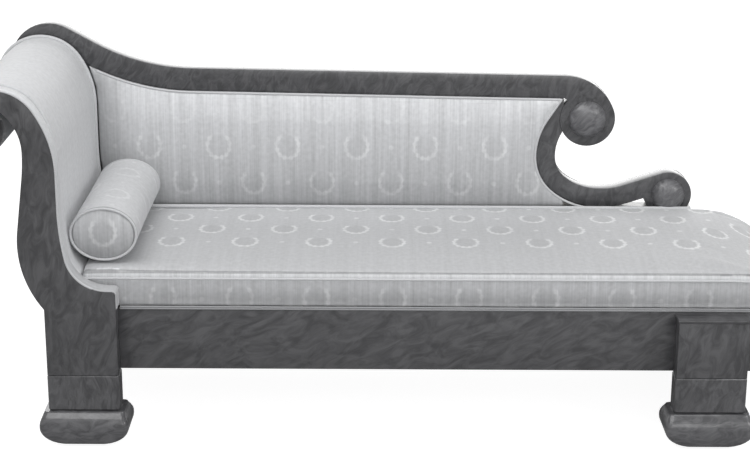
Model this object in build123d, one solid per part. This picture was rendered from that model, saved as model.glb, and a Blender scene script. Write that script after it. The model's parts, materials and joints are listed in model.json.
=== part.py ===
"""A scroll-end day couch (recamier) in veneered mahogany with silk upholstery.

Millimetres, +Z up.  +X runs from the head end, where the arm rolls over, to the
low foot end; -Y is the front.  The origin lies on the floor under the middle of
the couch.  Every physical piece is a solid of its own.
"""
from build123d import *
from math import asin, atan2, cos, degrees, hypot, radians, sin, sqrt
import os

# ---------------------------------------------------------------- driving sizes
# seat frame
seat_rail_height = 156.0
seat_rail_thickness = 32.0
frame_foot_overhang = 148.0  # rails run this far past the foot-end block
frame_depth = 545.0          # outside of the front rail to outside of the rear rail

# legs: planted upper block, lower block, scrolled pad foot, wear pad and glide
leg_spacing = 1532.0         # head-end leg centre to foot-end leg centre
block_width = 172.0
board_thickness = 45.0       # facing boards, planted blocks, crest and back frame
lower_block_height = 94.0
lower_block_depth = 54.0
lower_block_step = 1.5       # how far the lower block stands out at its sides
block_chamfer = 2.0
foot_height = 84.0
foot_width = 218.0
foot_depth = 120.0
foot_projection = 28.0       # front foot in front of the leg block
rear_foot_projection = 5.0
foot_top_width = 196.0
foot_top_depth = 108.0
foot_base_width = 108.0
foot_base_depth = 76.0
foot_ledge = 8.0             # height of the straight fillet on top of the foot
foot_toe_height = 20.0       # where the sloping underside would meet the side
foot_toe_radius = 26.0
foot_toe_depth_radius = 18.0
foot_shoulder_height = 58.0  # where the side would meet the slope under the ledge
foot_shoulder_radius = 24.0
foot_shoulder_depth_radius = 12.0
wear_pad_height = 5.0
wear_pad_width = 100.0
wear_pad_depth = 70.0
glide_radius = 8.0
glide_height = 4.0
cap_height = 8.0             # moulded cap on the front foot-end block
cap_overhang = 3.0
foot_block_drop = 5.0        # top of that cap under the top of the rail

# arm: S-shaped facing boards with a scrolled top
arm_rise = 554.0             # top of the facing boards over the seat rails
roll_radius = 107.0
roll_offset = 181.0          # centre of the roll outside the head-end leg centre
neck_radius = 275.0
neck_turn = 34.5
hollow_radius = 668.0
hollow_turn = 10.9
cove_radius = 101.0
shoulder_rise = 59.0         # where the inner edge turns flat, over the seat rails
shoulder_round = 8.0
waist_x = 62.5               # outer edge: narrowest place, from the roll centre
waist_drop = 40.5
back_radius = 510.0
back_lean = 7.5
belly_radius = 264.0
belly_turn = 45.5
belly_foot_rise = 14.0       # where the outer edge meets the leg block, over the rails
throat_radius = 127.0
throat_turn = 56.0
hook_radius = 40.0
hook_turn = 84.0
terminal_radius = 61.5       # disc that ends the scroll

# arm upholstery and its carriers
pad_roll_radius = 118.0
pad_neck_radius = 226.0
pad_cove_turn = 36.0         # how far the pad follows the cove over the seat
pad_sink = 14.0              # depth of the pad behind the edge of the facing
stave_thickness = 12.0
stave_width = 46.0
stave_count = 7
stave_cove_turn = 20.0       # how far the row of staves follows the cove
stave_first = 0.16           # first and last stave along that edge, as shares of it
stave_last = 0.96
cover_thickness = 4.0
soft_gap = 0.3               # between upholstery and what it leans on

# crest rail and C-shaped end scroll
crest_width = 62.0
crest_head_radius = 102.0
crest_head_shift = 19.0      # head centre from the roll centre, towards the foot
crest_head_rise = 49.0
crest_head_start = 60.0      # heading with which the crest leaves the arm scroll
crest_slope = 0.93
sweep_turn = 28.0
sweep_radius = 553.0
sweep_run = 80.0             # straight between the head and the sweep
crest_run = 1005.5           # long straight of the crest
crest_shoulder_radius = 142.6
crest_shoulder_turn = 69.0
upper_scroll_radius = 75.0
scroll_width = 53.0          # width of the C-shaped member
scroll_left = 84.0           # inside of the C from the upper scroll's centre
scroll_below = 102.0
scroll_top_radius = 132.0
scroll_top_turn = 33.0
scroll_top_run = 76.0
scroll_turn_radius = 78.0
scroll_turn = 52.0
scroll_base_radius = 150.0
scroll_flat = 11.0
scroll_rise_radius = 165.0
scroll_rise_turn = 18.0
scroll_rise_run = 114.0
lower_scroll_radius = 64.0

# turned bosses
upper_boss_radius = 50.0
lower_boss_radius = 45.0
arm_boss_radius = 45.0
boss_height = 28.0
boss_rim = 6.0
boss_bands = 3               # conical cuts that turn the dome
boss_spigot_radius = 9.0
boss_spigot_length = 18.0

# back
back_rail_rise = 95.0        # top of the back's bottom rail over the seat rails
back_rail_lap = 53.0         # how far it laps down over the rear seat rail
back_pad_front = 16.0        # back pad in front of the crest's face
back_pad_depth = 32.0
back_pad_edge = 9.0          # rounding along its front
back_pad_edge_share = 0.6    # most of the blunt end's height that the rounding takes
back_pad_clearance = 5.0     # between the back pad and the arm's upholstery
back_pad_tip = 28.0          # blunt end of the pad, past the foremost point of the C
webbing_thickness = 1.5
webbing_width = 50.0
back_web_count = 9
back_cover_inset = 5.0

# seat
seat_thickness = 97.0        # upholstery at its edge, over the seat rails
seat_crown = 9.0
seat_edge_round = 10.0
seat_bulge = 2.0
seat_setback = 3.0           # front of the upholstery behind the rail's face
seat_back_gap = 19.0         # rear edge of the upholstery in front of the back frame
waterfall_reach = 195.0      # length over which the seat rolls down at the foot
waterfall_end_radius = 60.0  # tighter round where it reaches the foot-end rail
cross_web_count = 14
long_web_count = 5

# inner frame
corner_block_size = 70.0
corner_block_height = 100.0
corner_block_drop = 20.0     # top of the corner blocks under the top of the rails
brace_width = 32.0
brace_height = 70.0
brace_lift = 10.0            # underside of the braces over that of the rails
brace_count = 2
dowel_radius = 7.0
dowel_length = 70.0
dowel_spacing = 90.0
dowel_gap = 0.05

# bolster
bolster_width = 172.0
bolster_height = 142.0
bolster_length = 440.0
bolster_side_radius = 60.0
bolster_end_round = 14.0
bolster_round_steps = 3
bolster_front_gap = 34.0     # front of the bolster behind the front of the seat
bolster_arm_gap = 1.2        # between the bolster and the arm's upholstery

cut_margin = 1.0             # how far a cutting shape reaches past what it cuts

# -------------------------------------------------------------- derived places
half_block = block_width / 2
length_at_foot = leg_spacing + half_block + frame_foot_overhang
length_at_head = roll_offset + pad_roll_radius
head_leg_x = (length_at_head - length_at_foot) / 2
foot_leg_x = head_leg_x + leg_spacing
rail_head_end = head_leg_x - half_block
rail_foot_end = foot_leg_x + half_block + frame_foot_overhang
front_rail_face = (foot_projection - rear_foot_projection - frame_depth) / 2
rear_rail_face = front_rail_face + frame_depth
front_face = front_rail_face - board_thickness
rear_face = rear_rail_face + board_thickness
foot_bottom = glide_height + wear_pad_height
lower_block_bottom = foot_bottom + foot_height
rail_bottom = lower_block_bottom + lower_block_height
seat_rail_top = rail_bottom + seat_rail_height
webbing_top = seat_rail_top + 2 * webbing_thickness
seat_height = seat_rail_top + seat_thickness
back_rail_top = seat_rail_top + back_rail_rise
arm_height = seat_rail_top + arm_rise
shoulder_height = seat_rail_top + shoulder_rise
belly_foot_height = seat_rail_top + belly_foot_rise
roll_x = head_leg_x - roll_offset
roll_z = arm_height - roll_radius


def slab(face, near, far):
    """A face drawn in X and Z, made solid between two Y planes."""
    return extrude(Plane.XZ.offset(-far) * face, amount=far - near)


def column(face, low, high):
    """A face drawn in X and Y, made solid between two heights."""
    return extrude(Pos(0, 0, low) * face, amount=high - low)


def block(x0, x1, y0, y1, z0, z1):
    """A squared timber between its six faces."""
    middle = Pos((x0 + x1) / 2, (y0 + y1) / 2, (z0 + z1) / 2)
    return middle * Box(x1 - x0, y1 - y0, z1 - z0)


def tangent_run(start, heading, steps, shift=0.0):
    """Lines and arcs that meet tangentially, moved sideways by shift (left is plus).

    A step is (None, length) for a straight and (radius, turn) for an arc, where a
    left turn is positive.
    """
    direction = Vector(1, 0).rotate(Axis.Z, heading)
    here = Vector(*start) + direction.rotate(Axis.Z, 90) * shift
    edges = []
    for radius, amount in steps:
        if radius is None:
            edge = Line(here, here + direction * amount)
        else:
            shifted = radius - shift if amount > 0 else radius + shift
            edge = JernArc(start=here, tangent=direction, radius=shifted, arc_size=amount)
            direction = direction.rotate(Axis.Z, amount)
        edges.append(edge)
        here = edge @ 1
    return edges


def disc(centre, radius):
    """A round face drawn in X and Z."""
    return Pos(centre[0], centre[1]) * Circle(radius)


# ------------------------------------------------------------- the arm's S curve
def inner_edge_steps(top_radius, second_radius, cove_turn):
    """Roll, neck, straight, hollow and cove of the edge that faces the sitter."""
    straight_top = roll_z + (top_radius - second_radius) * sin(radians(neck_turn))
    cove_start = shoulder_height + cove_radius * (1 - sin(radians(hollow_turn)))
    straight = straight_top - hollow_radius * sin(radians(hollow_turn)) - cove_start
    return [
        (top_radius, neck_turn - 180),
        (second_radius, -neck_turn),
        (None, straight),
        (hollow_radius, hollow_turn),
        (cove_radius, cove_turn),
    ]


def arm_region(top_radius, second_radius, floor, shift=0.0):
    """All that lies behind the sitter's edge of the arm, down to a floor height."""
    steps = inner_edge_steps(top_radius, second_radius, pad_cove_turn)
    start = (roll_x - top_radius, roll_z)
    edges = tangent_run(start, 90, steps, shift)
    first = edges[0] @ 0
    last = edges[-1] @ 1
    close = Polyline(last, (last.X, floor), (first.X, floor), first)
    return make_face(edges + [close])


def terminal_centre():
    """Centre of the disc that ends the arm's scroll."""
    return (roll_x - roll_radius + terminal_radius, roll_z)


def facing_face():
    """Outline of the facing board: scroll, S-shaped stem and upper leg block."""
    inner = tangent_run(
        (roll_x - roll_radius, roll_z),
        90,
        inner_edge_steps(roll_radius, neck_radius, 90 - hollow_turn),
    )
    waist = (roll_x + waist_x, roll_z - waist_drop)
    lean = radians(back_lean)
    belly_end = radians(belly_turn - 90 - back_lean)
    belly_drop = belly_radius * (cos(belly_end) + sin(lean))
    stem_drop = waist[1] - belly_foot_height - back_radius * sin(lean) - belly_drop
    down = tangent_run(
        waist,
        -90,
        [
            (back_radius, -back_lean),
            (None, stem_drop / cos(lean)),
            (belly_radius, belly_turn),
        ],
    )
    up = tangent_run(waist, 90, [(throat_radius, throat_turn), (hook_radius, hook_turn)])
    shoulder = inner[-1] @ 1
    belly_foot = down[-1] @ 1
    left = head_leg_x - half_block
    right = head_leg_x + half_block
    block_edge = Polyline(
        shoulder,
        (right, shoulder.Y),
        (right, rail_bottom),
        (left, rail_bottom),
        (left, belly_foot.Y),
        belly_foot,
    )
    close = Line(up[-1] @ 1, inner[0] @ 0)
    stem = make_face(inner + down + up + [block_edge, close])
    corner = stem.vertices().sort_by_distance((right, shoulder.Y))[0]
    stem = fillet(corner, shoulder_round)
    return stem + disc(terminal_centre(), terminal_radius)


# ------------------------------------------------------------ crest and C scroll
def crest_steps():
    """The crest's top edge, from the arm scroll down the sweep to the foot."""
    return [
        (crest_head_radius, -(crest_head_start + crest_slope + sweep_turn)),
        (None, sweep_run),
        (sweep_radius, sweep_turn),
        (None, crest_run),
        (crest_shoulder_radius, -crest_shoulder_turn),
    ]


def crest_start():
    """Point on the crest's head from which its top edge is drawn."""
    angle = radians(crest_head_start + 90)
    return (
        roll_x + crest_head_shift + crest_head_radius * cos(angle),
        roll_z + crest_head_rise + crest_head_radius * sin(angle),
    )


def upper_scroll_centre():
    """Centre of the round scroll that ends the crest."""
    end = tangent_run(crest_start(), crest_head_start, crest_steps())[-1]
    inwards = (end % 1).rotate(Axis.Z, -90)
    centre = end @ 1 + inwards * upper_scroll_radius
    return (centre.X, centre.Y)


def crest_outline():
    """Crest rail with its round end, before it is fitted over the arm scroll."""
    steps = crest_steps()
    top = tangent_run(crest_start(), crest_head_start, steps)
    under = tangent_run(crest_start(), crest_head_start, steps[:-1], shift=-crest_width)
    centre = Vector(*upper_scroll_centre())
    ends = [
        Polyline(top[-1] @ 1, centre, under[-1] @ 1),
        Line(under[0] @ 0, top[0] @ 0),
    ]
    return make_face(top + under + ends) + disc(upper_scroll_centre(), upper_scroll_radius)


def scroll_start():
    """Inside of the C at its foremost point."""
    centre = upper_scroll_centre()
    return (centre[0] - scroll_left, centre[1] - scroll_below)


def scroll_base_steps():
    """The C from its hollow down, along its base and up to the lower scroll."""
    return [
        (scroll_turn_radius, scroll_turn),
        (scroll_base_radius, 90 - scroll_turn),
        (None, scroll_flat),
        (scroll_rise_radius, scroll_rise_turn),
        (None, scroll_rise_run),
    ]


def lower_scroll_centre():
    """Centre of the lower scroll's disc, which hangs under the end of the rise."""
    end = tangent_run(scroll_start(), -90, scroll_base_steps())[-1]
    inwards = (end % 1).rotate(Axis.Z, -90)
    centre = end @ 1 + inwards * lower_scroll_radius
    return (centre.X, centre.Y)


def scroll_outline():
    """C-shaped end member with its lower scroll, before its ends are fitted."""
    top_steps = [(scroll_top_radius, -scroll_top_turn)]
    fabric_steps = top_steps + [(None, scroll_top_run)]
    open_top = tangent_run(scroll_start(), 90, top_steps)
    fabric_top = tangent_run(scroll_start(), 90, fabric_steps, shift=scroll_width)
    open_base = tangent_run(scroll_start(), -90, scroll_base_steps())
    fabric_base = tangent_run(scroll_start(), -90, scroll_base_steps(), shift=-scroll_width)
    ends = [
        Line(open_top[-1] @ 1, fabric_top[-1] @ 1),
        Line(open_base[-1] @ 1, fabric_base[-1] @ 1),
    ]
    member = make_face(open_top + fabric_top + open_base + fabric_base + ends)
    return member + disc(lower_scroll_centre(), lower_scroll_radius)


def above(height, face):
    """The part of an X-Z face that lies above a height."""
    box = face.bounding_box()
    width = box.size.X + 2 * cut_margin
    tall = box.max.Y - height + cut_margin
    middle = Pos(box.center().X, height + tall / 2)
    return face & middle * Rectangle(width, tall)


# ------------------------------------------------------------------ wooden parts
def seat_rails():
    """The four rails of the seat frame."""
    inner_front = front_rail_face + seat_rail_thickness
    inner_rear = rear_rail_face - seat_rail_thickness
    z = (rail_bottom, seat_rail_top)
    return {
        "front_seat_rail": block(rail_head_end, rail_foot_end, front_rail_face, inner_front, *z),
        "rear_seat_rail": block(rail_head_end, rail_foot_end, inner_rear, rear_rail_face, *z),
        "head_end_rail": block(
            rail_head_end, rail_head_end + seat_rail_thickness, inner_front, inner_rear, *z
        ),
        "foot_end_rail": block(
            rail_foot_end - seat_rail_thickness, rail_foot_end, inner_front, inner_rear, *z
        ),
    }


def corner_blocks():
    """Triangular glue blocks in the frame's four inner corners."""
    x_inner = (rail_head_end + seat_rail_thickness, rail_foot_end - seat_rail_thickness)
    y_inner = (front_rail_face + seat_rail_thickness, rear_rail_face - seat_rail_thickness)
    top = seat_rail_top - corner_block_drop
    solids = []
    for x, along in zip(x_inner, (1, -1)):
        for y, across in zip(y_inner, (1, -1)):
            triangle = make_face(
                Polyline(
                    (x, y),
                    (x + along * corner_block_size, y),
                    (x, y + across * corner_block_size),
                    close=True,
                )
            )
            solids.append(column(triangle, top - corner_block_height, top))
    return solids


def seat_braces():
    """Cross braces between the front and rear rails."""
    y0 = front_rail_face + seat_rail_thickness
    y1 = rear_rail_face - seat_rail_thickness
    span = rail_foot_end - rail_head_end
    solids = []
    for number in range(1, brace_count + 1):
        x = rail_head_end + span * number / (brace_count + 1)
        low = rail_bottom + brace_lift
        solids.append(
            block(x - brace_width / 2, x + brace_width / 2, y0, y1, low, low + brace_height)
        )
    return solids


def dowel_places():
    """Centres, in plan, of the two dowels of each leg."""
    places = []
    for leg_x in (head_leg_x, foot_leg_x):
        for y in (front_face + board_thickness / 2, rear_face - board_thickness / 2):
            for side in (-1, 1):
                places.append((leg_x + side * dowel_spacing / 2, y))
    return places


def dowel_pegs(radius):
    """The leg dowels, or the holes for them."""
    low = rail_bottom - dowel_length / 2
    return [
        Pos(x, y, low) * Cylinder(radius, dowel_length, align=(Align.CENTER, Align.CENTER, Align.MIN))
        for x, y in dowel_places()
    ]


def drilled(solid):
    """A solid with the dowel holes that pass through it."""
    box = solid.bounding_box()
    for x, y in dowel_places():
        if box.min.X < x < box.max.X and box.min.Y < y < box.max.Y:
            low = rail_bottom - dowel_length / 2
            hole = Cylinder(
                dowel_radius + dowel_gap,
                dowel_length,
                align=(Align.CENTER, Align.CENTER, Align.MIN),
            )
            solid -= Pos(x, y, low) * hole
    return solid


def upper_blocks():
    """Planted upper blocks of the foot-end legs; the front one carries a cap."""
    left = foot_leg_x - half_block
    right = foot_leg_x + half_block
    cap_top = seat_rail_top - foot_block_drop
    front = block(left, right, front_face, front_rail_face, rail_bottom, cap_top - cap_height)
    rear = block(left, right, rear_rail_face, rear_face, rail_bottom, seat_rail_top)
    cap = block(
        left - cap_overhang,
        right + cap_overhang,
        front_face - cap_overhang,
        front_rail_face,
        cap_top - cap_height,
        cap_top,
    )
    nosing = cap.edges().filter_by(Axis.X).group_by(Axis.Y)[0]
    returns = cap.edges().filter_by(Axis.Y)
    cap = fillet(nosing + returns, cap_overhang)
    return {
        "foot_block_front": drilled(front),
        "foot_block_rear": drilled(rear),
        "foot_block_cap": cap,
    }


def lower_block(leg_x, near, far):
    """Square lower leg block with a fine chamfer round its top."""
    half = half_block + lower_block_step
    body = block(leg_x - half, leg_x + half, near, far, lower_block_bottom, rail_bottom)
    top = body.faces().sort_by(Axis.Z)[-1]
    return drilled(chamfer(top.edges(), block_chamfer))


def swelling(top_width, full_width, base_width, toe_radius, shoulder_radius):
    """Half profile of a pad foot: sloping underside, round toe, shoulder and ledge."""
    side = FilletPolyline(
        (base_width / 2, 0),
        (full_width / 2, foot_toe_height),
        (full_width / 2, foot_shoulder_height),
        (top_width / 2, foot_height - foot_ledge),
        radius=[toe_radius, shoulder_radius],
    )
    close = Polyline(side @ 1, (top_width / 2, foot_height), (0, foot_height), (0, 0), side @ 0)
    return make_face(side.edges() + close.edges())


def pad_foot(x, y):
    """Scrolled pad foot: the swelling profile seen from the front and from the side."""
    half_front = swelling(
        foot_top_width, foot_width, foot_base_width, foot_toe_radius, foot_shoulder_radius
    )
    half_side = swelling(
        foot_top_depth,
        foot_depth,
        foot_base_depth,
        foot_toe_depth_radius,
        foot_shoulder_depth_radius,
    )
    front = half_front + mirror(half_front, Plane.YZ)
    side = half_side + mirror(half_side, Plane.YZ)
    along_y = extrude(Plane.XZ * front, amount=foot_depth, both=True)
    along_x = extrude(Plane.YZ * side, amount=foot_width, both=True)
    return Pos(x, y, foot_bottom) * (along_y & along_x)


def wear_pad(x, y):
    """Flat wear pad under a foot, with its corners rounded."""
    plan = RectangleRounded(wear_pad_width, wear_pad_depth, wear_pad_depth / 3)
    return column(Pos(x, y) * plan, glide_height, foot_bottom)


def glide(x, y):
    """Nail glide: the low bevelled head that meets the floor."""
    head = Pos(x, y) * Cylinder(
        glide_radius, glide_height, align=(Align.CENTER, Align.CENTER, Align.MIN)
    )
    return chamfer(head.faces().sort_by(Axis.Z)[0].edges(), glide_height / 2)


def legs():
    """Lower blocks, feet, wear pads and glides of the four legs."""
    parts = {}
    pads = []
    glides = []
    foot_y = {
        "front": front_face - foot_projection + foot_depth / 2,
        "rear": rear_face + rear_foot_projection - foot_depth / 2,
    }
    spans = {
        "front": (front_face, front_face + lower_block_depth),
        "rear": (rear_face - lower_block_depth, rear_face),
    }
    for end, leg_x in (("head", head_leg_x), ("foot", foot_leg_x)):
        for side in ("front", "rear"):
            parts[f"leg_block_{end}_{side}"] = lower_block(leg_x, *spans[side])
            parts[f"pad_foot_{end}_{side}"] = pad_foot(leg_x, foot_y[side])
            pads.append(wear_pad(leg_x, foot_y[side]))
            glides.append(glide(leg_x, foot_y[side]))
    parts["foot_wear_pads"] = pads
    parts["glides"] = glides
    return parts


def boss(centre, radius, face_y):
    """Turned boss: rim and dome, with a spigot glued in the board."""
    inner = radius - boss_rim
    dome = boss_height - boss_rim
    sphere = (inner**2 + dome**2) / (2 * dome)
    reach = asin(inner / sphere)
    crown = []
    for band in range(boss_bands + 1):
        angle = reach * (1 - band / boss_bands)
        crown.append((sphere * sin(angle), boss_height - sphere * (1 - cos(angle))))
    profile = make_face(
        Polyline(
            (0, -boss_spigot_length),
            (boss_spigot_radius, -boss_spigot_length),
            (boss_spigot_radius, 0),
            (radius, 0),
            (radius, boss_rim),
            *crown,
            close=True,
        )
    )
    turned = revolve(Plane.XZ * profile, Axis.Z)
    return Location((centre[0], face_y, centre[1]), (90, 0, 0)) * turned


def spigot_hole(centre, face_y):
    """The hole that takes a boss's spigot."""
    hole = Cylinder(boss_spigot_radius + dowel_gap, boss_spigot_length)
    return Location((centre[0], face_y, centre[1]), (90, 0, 0)) * Pos(
        0, 0, -boss_spigot_length / 2
    ) * hole


def back_rail_face():
    """Bottom rail of the back: laps the seat rail and runs over the foot-end block."""
    left = roll_x
    right = lower_scroll_centre()[0] + lower_scroll_radius
    low = seat_rail_top - back_rail_lap
    middle = Pos((left + right) / 2, (low + back_rail_top) / 2)
    board = middle * Rectangle(right - left, back_rail_top - low)
    block_left = foot_leg_x - half_block
    cut_width = right - block_left + cut_margin
    under = Pos(block_left + cut_width / 2, (low + seat_rail_top - cut_margin) / 2)
    board -= under * Rectangle(cut_width, seat_rail_top - low + cut_margin)
    board -= facing_face()
    return max(board.faces(), key=lambda face: face.area)


def frame_boards():
    """Facings, crest, C scroll and bottom rail of the back, with their bosses."""
    facing = facing_face()
    crest = crest_outline() - facing
    scroll = above(back_rail_top, scroll_outline() - crest_outline())
    scroll = max(scroll.faces(), key=lambda face: face.area)
    front_board = slab(facing, front_face, front_rail_face)
    rear_board = slab(facing, rear_rail_face, rear_face)
    crest_board = slab(max(crest.faces(), key=lambda face: face.area), rear_rail_face, rear_face)
    scroll_board = slab(scroll, rear_rail_face, rear_face)
    crest_board -= spigot_hole(upper_scroll_centre(), rear_rail_face)
    scroll_board -= spigot_hole(lower_scroll_centre(), rear_rail_face)
    front_board -= spigot_hole(terminal_centre(), front_face)
    return {
        "arm_facing_front": drilled(front_board),
        "arm_facing_rear": drilled(rear_board),
        "crest_rail": crest_board,
        "c_scroll": scroll_board,
        "back_bottom_rail": slab(back_rail_face(), rear_rail_face, rear_face),
        "crest_scroll_boss": boss(upper_scroll_centre(), upper_boss_radius, rear_rail_face),
        "lower_scroll_boss": boss(lower_scroll_centre(), lower_boss_radius, rear_rail_face),
        "arm_scroll_boss": boss(terminal_centre(), arm_boss_radius, front_face),
    }


# -------------------------------------------------------------------- upholstery
def arm_behind(depth, floor=webbing_top):
    """Everything more than a depth behind the sitter's edge of the facing."""
    return arm_region(roll_radius, neck_radius, floor, shift=-depth)


def arm_staves():
    """Curved staves between the facings, which carry the arm's upholstery."""
    strip = arm_behind(pad_sink) - arm_behind(pad_sink + stave_thickness)
    middle_depth = pad_sink + stave_thickness / 2
    steps = inner_edge_steps(roll_radius, neck_radius, stave_cove_turn)
    line = Wire(tangent_run((roll_x - roll_radius, roll_z), 90, steps, shift=-middle_depth))
    solids = []
    for number in range(stave_count):
        share = stave_first + (stave_last - stave_first) * number / (stave_count - 1)
        place = line @ share
        angle = Vector(1, 0).get_signed_angle(line % share, Vector(0, 0, 1))
        window = Pos(place.X, place.Y) * Rot(0, 0, angle) * Rectangle(stave_width, 3 * stave_thickness)
        solids.append(slab(strip & window, front_rail_face, rear_rail_face))
    return solids


def arm_pad_face():
    """Section of the arm's upholstery: over the roll and down to the seat."""
    cushion = arm_region(pad_roll_radius, pad_neck_radius, webbing_top + soft_gap)
    cushion -= arm_behind(pad_sink, floor=webbing_top)
    reach = pad_roll_radius + cut_margin
    below_roll = Pos(roll_x - reach / 2, roll_z - reach) * Rectangle(reach, 2 * reach)
    return max((cushion - below_roll).faces(), key=lambda face: face.area)


def arm_upholstery():
    """Pad, outside cover and core of the arm."""
    facing = facing_face()
    shell = facing - offset(facing, amount=-cover_thickness)
    cover = above(webbing_top, shell & arm_behind(pad_sink, floor=rail_bottom))
    cover = max(cover.faces(), key=lambda face: face.area)
    core = disc(terminal_centre(), terminal_radius - cover_thickness)
    core &= arm_behind(pad_sink)
    return {
        "arm_pad": slab(arm_pad_face(), front_rail_face, rear_rail_face),
        "arm_outside_cover": slab(cover, front_rail_face, rear_rail_face),
        "arm_scroll_core": slab(core, front_rail_face, rear_rail_face),
        "arm_staves": arm_staves(),
    }


def seat_left():
    """Where the seat upholstery starts, beside the arm pad."""
    steps = inner_edge_steps(pad_roll_radius, pad_neck_radius, pad_cove_turn)
    end = tangent_run((roll_x - pad_roll_radius, roll_z), 90, steps)[-1] @ 1
    return end.X + soft_gap


def seat_pad():
    """Seat upholstery: crowned, slightly bulged in front, rolled down at the foot."""
    front = front_rail_face + seat_setback
    rear = rear_rail_face - seat_back_gap
    low = webbing_top
    middle = (front + rear) / 2
    section = make_face(
        [
            Line((front, low), (rear, low)),
            Line((rear, low), (rear, seat_height)),
            ThreePointArc((rear, seat_height), (middle, seat_height + seat_crown), (front, seat_height)),
            ThreePointArc(
                (front, seat_height), (front - seat_bulge, (low + seat_height) / 2), (front, low)
            ),
        ]
    )
    edges = section.vertices().group_by(Axis.Y)[-1]
    section = fillet(edges, seat_edge_round)
    start = seat_left()
    body = extrude(Plane.YZ.offset(start) * section, amount=rail_foot_end - start)
    top = seat_height + seat_crown
    fall_start = rail_foot_end - waterfall_reach
    drop = top - low
    fall_radius = (waterfall_reach**2 + drop**2 - 2 * waterfall_reach * waterfall_end_radius) / (
        2 * (drop - waterfall_end_radius)
    )
    fall_turn = degrees(atan2(waterfall_reach - waterfall_end_radius, fall_radius - drop))
    fall = tangent_run(
        (fall_start, top),
        0,
        [(fall_radius, -fall_turn), (waterfall_end_radius, fall_turn - 90)],
    )
    close = Polyline(fall[-1] @ 1, (start, low), (start, top), (fall_start, top))
    return body & slab(make_face(fall + [close]), front - seat_bulge, rear)


def seat_webbing():
    """Girth webs tacked over the seat frame, one layer each way."""
    cross = []
    long = []
    x0 = rail_head_end
    span = rail_foot_end - x0
    for number in range(cross_web_count):
        x = x0 + span * (number + 0.5) / cross_web_count
        cross.append(
            block(
                x - webbing_width / 2,
                x + webbing_width / 2,
                front_rail_face + seat_setback,
                rear_rail_face - seat_setback,
                seat_rail_top,
                seat_rail_top + webbing_thickness,
            )
        )
    for number in range(long_web_count):
        y = front_rail_face + frame_depth * (number + 0.5) / long_web_count
        long.append(
            block(
                x0,
                rail_foot_end,
                y - webbing_width / 2,
                y + webbing_width / 2,
                seat_rail_top + webbing_thickness,
                webbing_top,
            )
        )
    return {"seat_webbing_cross": cross, "seat_webbing_long": long}


def back_opening():
    """The opening in the back frame, bounded by arm, crest, C scroll and rail."""
    left = roll_x
    right = upper_scroll_centre()[0] + upper_scroll_radius
    middle = Pos((left + right) / 2, (back_rail_top + arm_height) / 2)
    field = middle * Rectangle(right - left, arm_height - back_rail_top)
    field -= facing_face()
    field -= crest_outline()
    field -= scroll_outline()
    return max(field.faces(), key=lambda face: face.area)


def back_upholstery():
    """Back pad with its webbing, and the cover that closes the outside."""
    opening = back_opening()
    face_y = rear_rail_face
    pad_front = face_y - back_pad_front
    pad_rear = pad_front + back_pad_depth
    arm = arm_region(pad_roll_radius, pad_neck_radius, rail_bottom, shift=back_pad_clearance)
    box = opening.bounding_box()
    tip_x = scroll_start()[0] + back_pad_tip
    past_tip = box.max.X + cut_margin - tip_x
    tip = Pos(tip_x + past_tip / 2, box.center().Y) * Rectangle(past_tip, box.size.Y)
    pad_field = max((opening - arm - tip).faces(), key=lambda face: face.area)
    pad = slab(pad_field, pad_front, pad_rear)
    front_edges = pad.faces().sort_by(Axis.Y)[0].edges()
    blunt_end = min(edge.length for edge in front_edges)
    pad = fillet(front_edges, min(back_pad_edge, back_pad_edge_share * blunt_end))
    straps = []
    for number in range(back_web_count):
        x = box.min.X + box.size.X * (number + 0.5) / back_web_count
        window = Pos(x, box.center().Y) * Rectangle(webbing_width, box.size.Y + 2 * cut_margin)
        strap = max((opening & window).faces(), key=lambda face: face.area)
        straps.append(slab(strap, pad_rear, pad_rear + webbing_thickness))
    cover_far = rear_face - back_cover_inset
    return {
        "back_pad": pad,
        "back_webbing": straps,
        "back_outside_cover": slab(opening, cover_far - cover_thickness, cover_far),
    }


def oval(inset):
    """The bolster's section, drawn in by an inset: four tangent arcs."""
    half_width = bolster_width / 2
    half_height = bolster_height / 2
    crown_radius = (
        half_width**2 + half_height**2 - 2 * half_width * bolster_side_radius
    ) / (2 * (half_height - bolster_side_radius))
    side_centre = half_width - bolster_side_radius
    crown_drop = crown_radius - half_height
    reach = hypot(side_centre, crown_drop)
    x = side_centre + (bolster_side_radius - inset) * side_centre / reach
    z = (bolster_side_radius - inset) * crown_drop / reach
    return make_face(
        [
            ThreePointArc((x, z), (0, half_height - inset), (-x, z)),
            ThreePointArc((-x, z), (inset - half_width, 0), (-x, -z)),
            ThreePointArc((-x, -z), (0, inset - half_height), (x, -z)),
            ThreePointArc((x, -z), (half_width - inset, 0), (x, z)),
        ]
    )


def bolster():
    """Round bolster that lies on the seat against the arm."""
    lowest = seat_height + seat_crown + soft_gap
    z = lowest + bolster_height / 2
    steps = inner_edge_steps(pad_roll_radius, pad_neck_radius, pad_cove_turn)
    edges = tangent_run((roll_x - pad_roll_radius, roll_z), 90, steps)
    arm_x = (edges[2] @ 1).X
    hollow_drop = (edges[2] @ 1).Y - z
    lean = hollow_radius - sqrt(max(hollow_radius**2 - max(hollow_drop, 0.0) ** 2, 0.0))
    x = arm_x + lean + bolster_width / 2 + bolster_arm_gap
    near = front_rail_face + seat_setback + bolster_front_gap
    far = near + bolster_length
    rounding = []
    for number in range(bolster_round_steps + 1):
        angle = radians(90 * number / bolster_round_steps)
        inset = bolster_end_round * (1 - sin(angle))
        rounding.append((inset, bolster_end_round * (1 - cos(angle))))
    front_end = [(inset, near + depth) for inset, depth in rounding]
    rear_end = [(inset, far - depth) for inset, depth in reversed(rounding)]
    sections = [
        Plane.XZ.offset(-y) * Pos(x, z) * oval(inset) for inset, y in front_end + rear_end
    ]
    return loft(sections, ruled=True)


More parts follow.
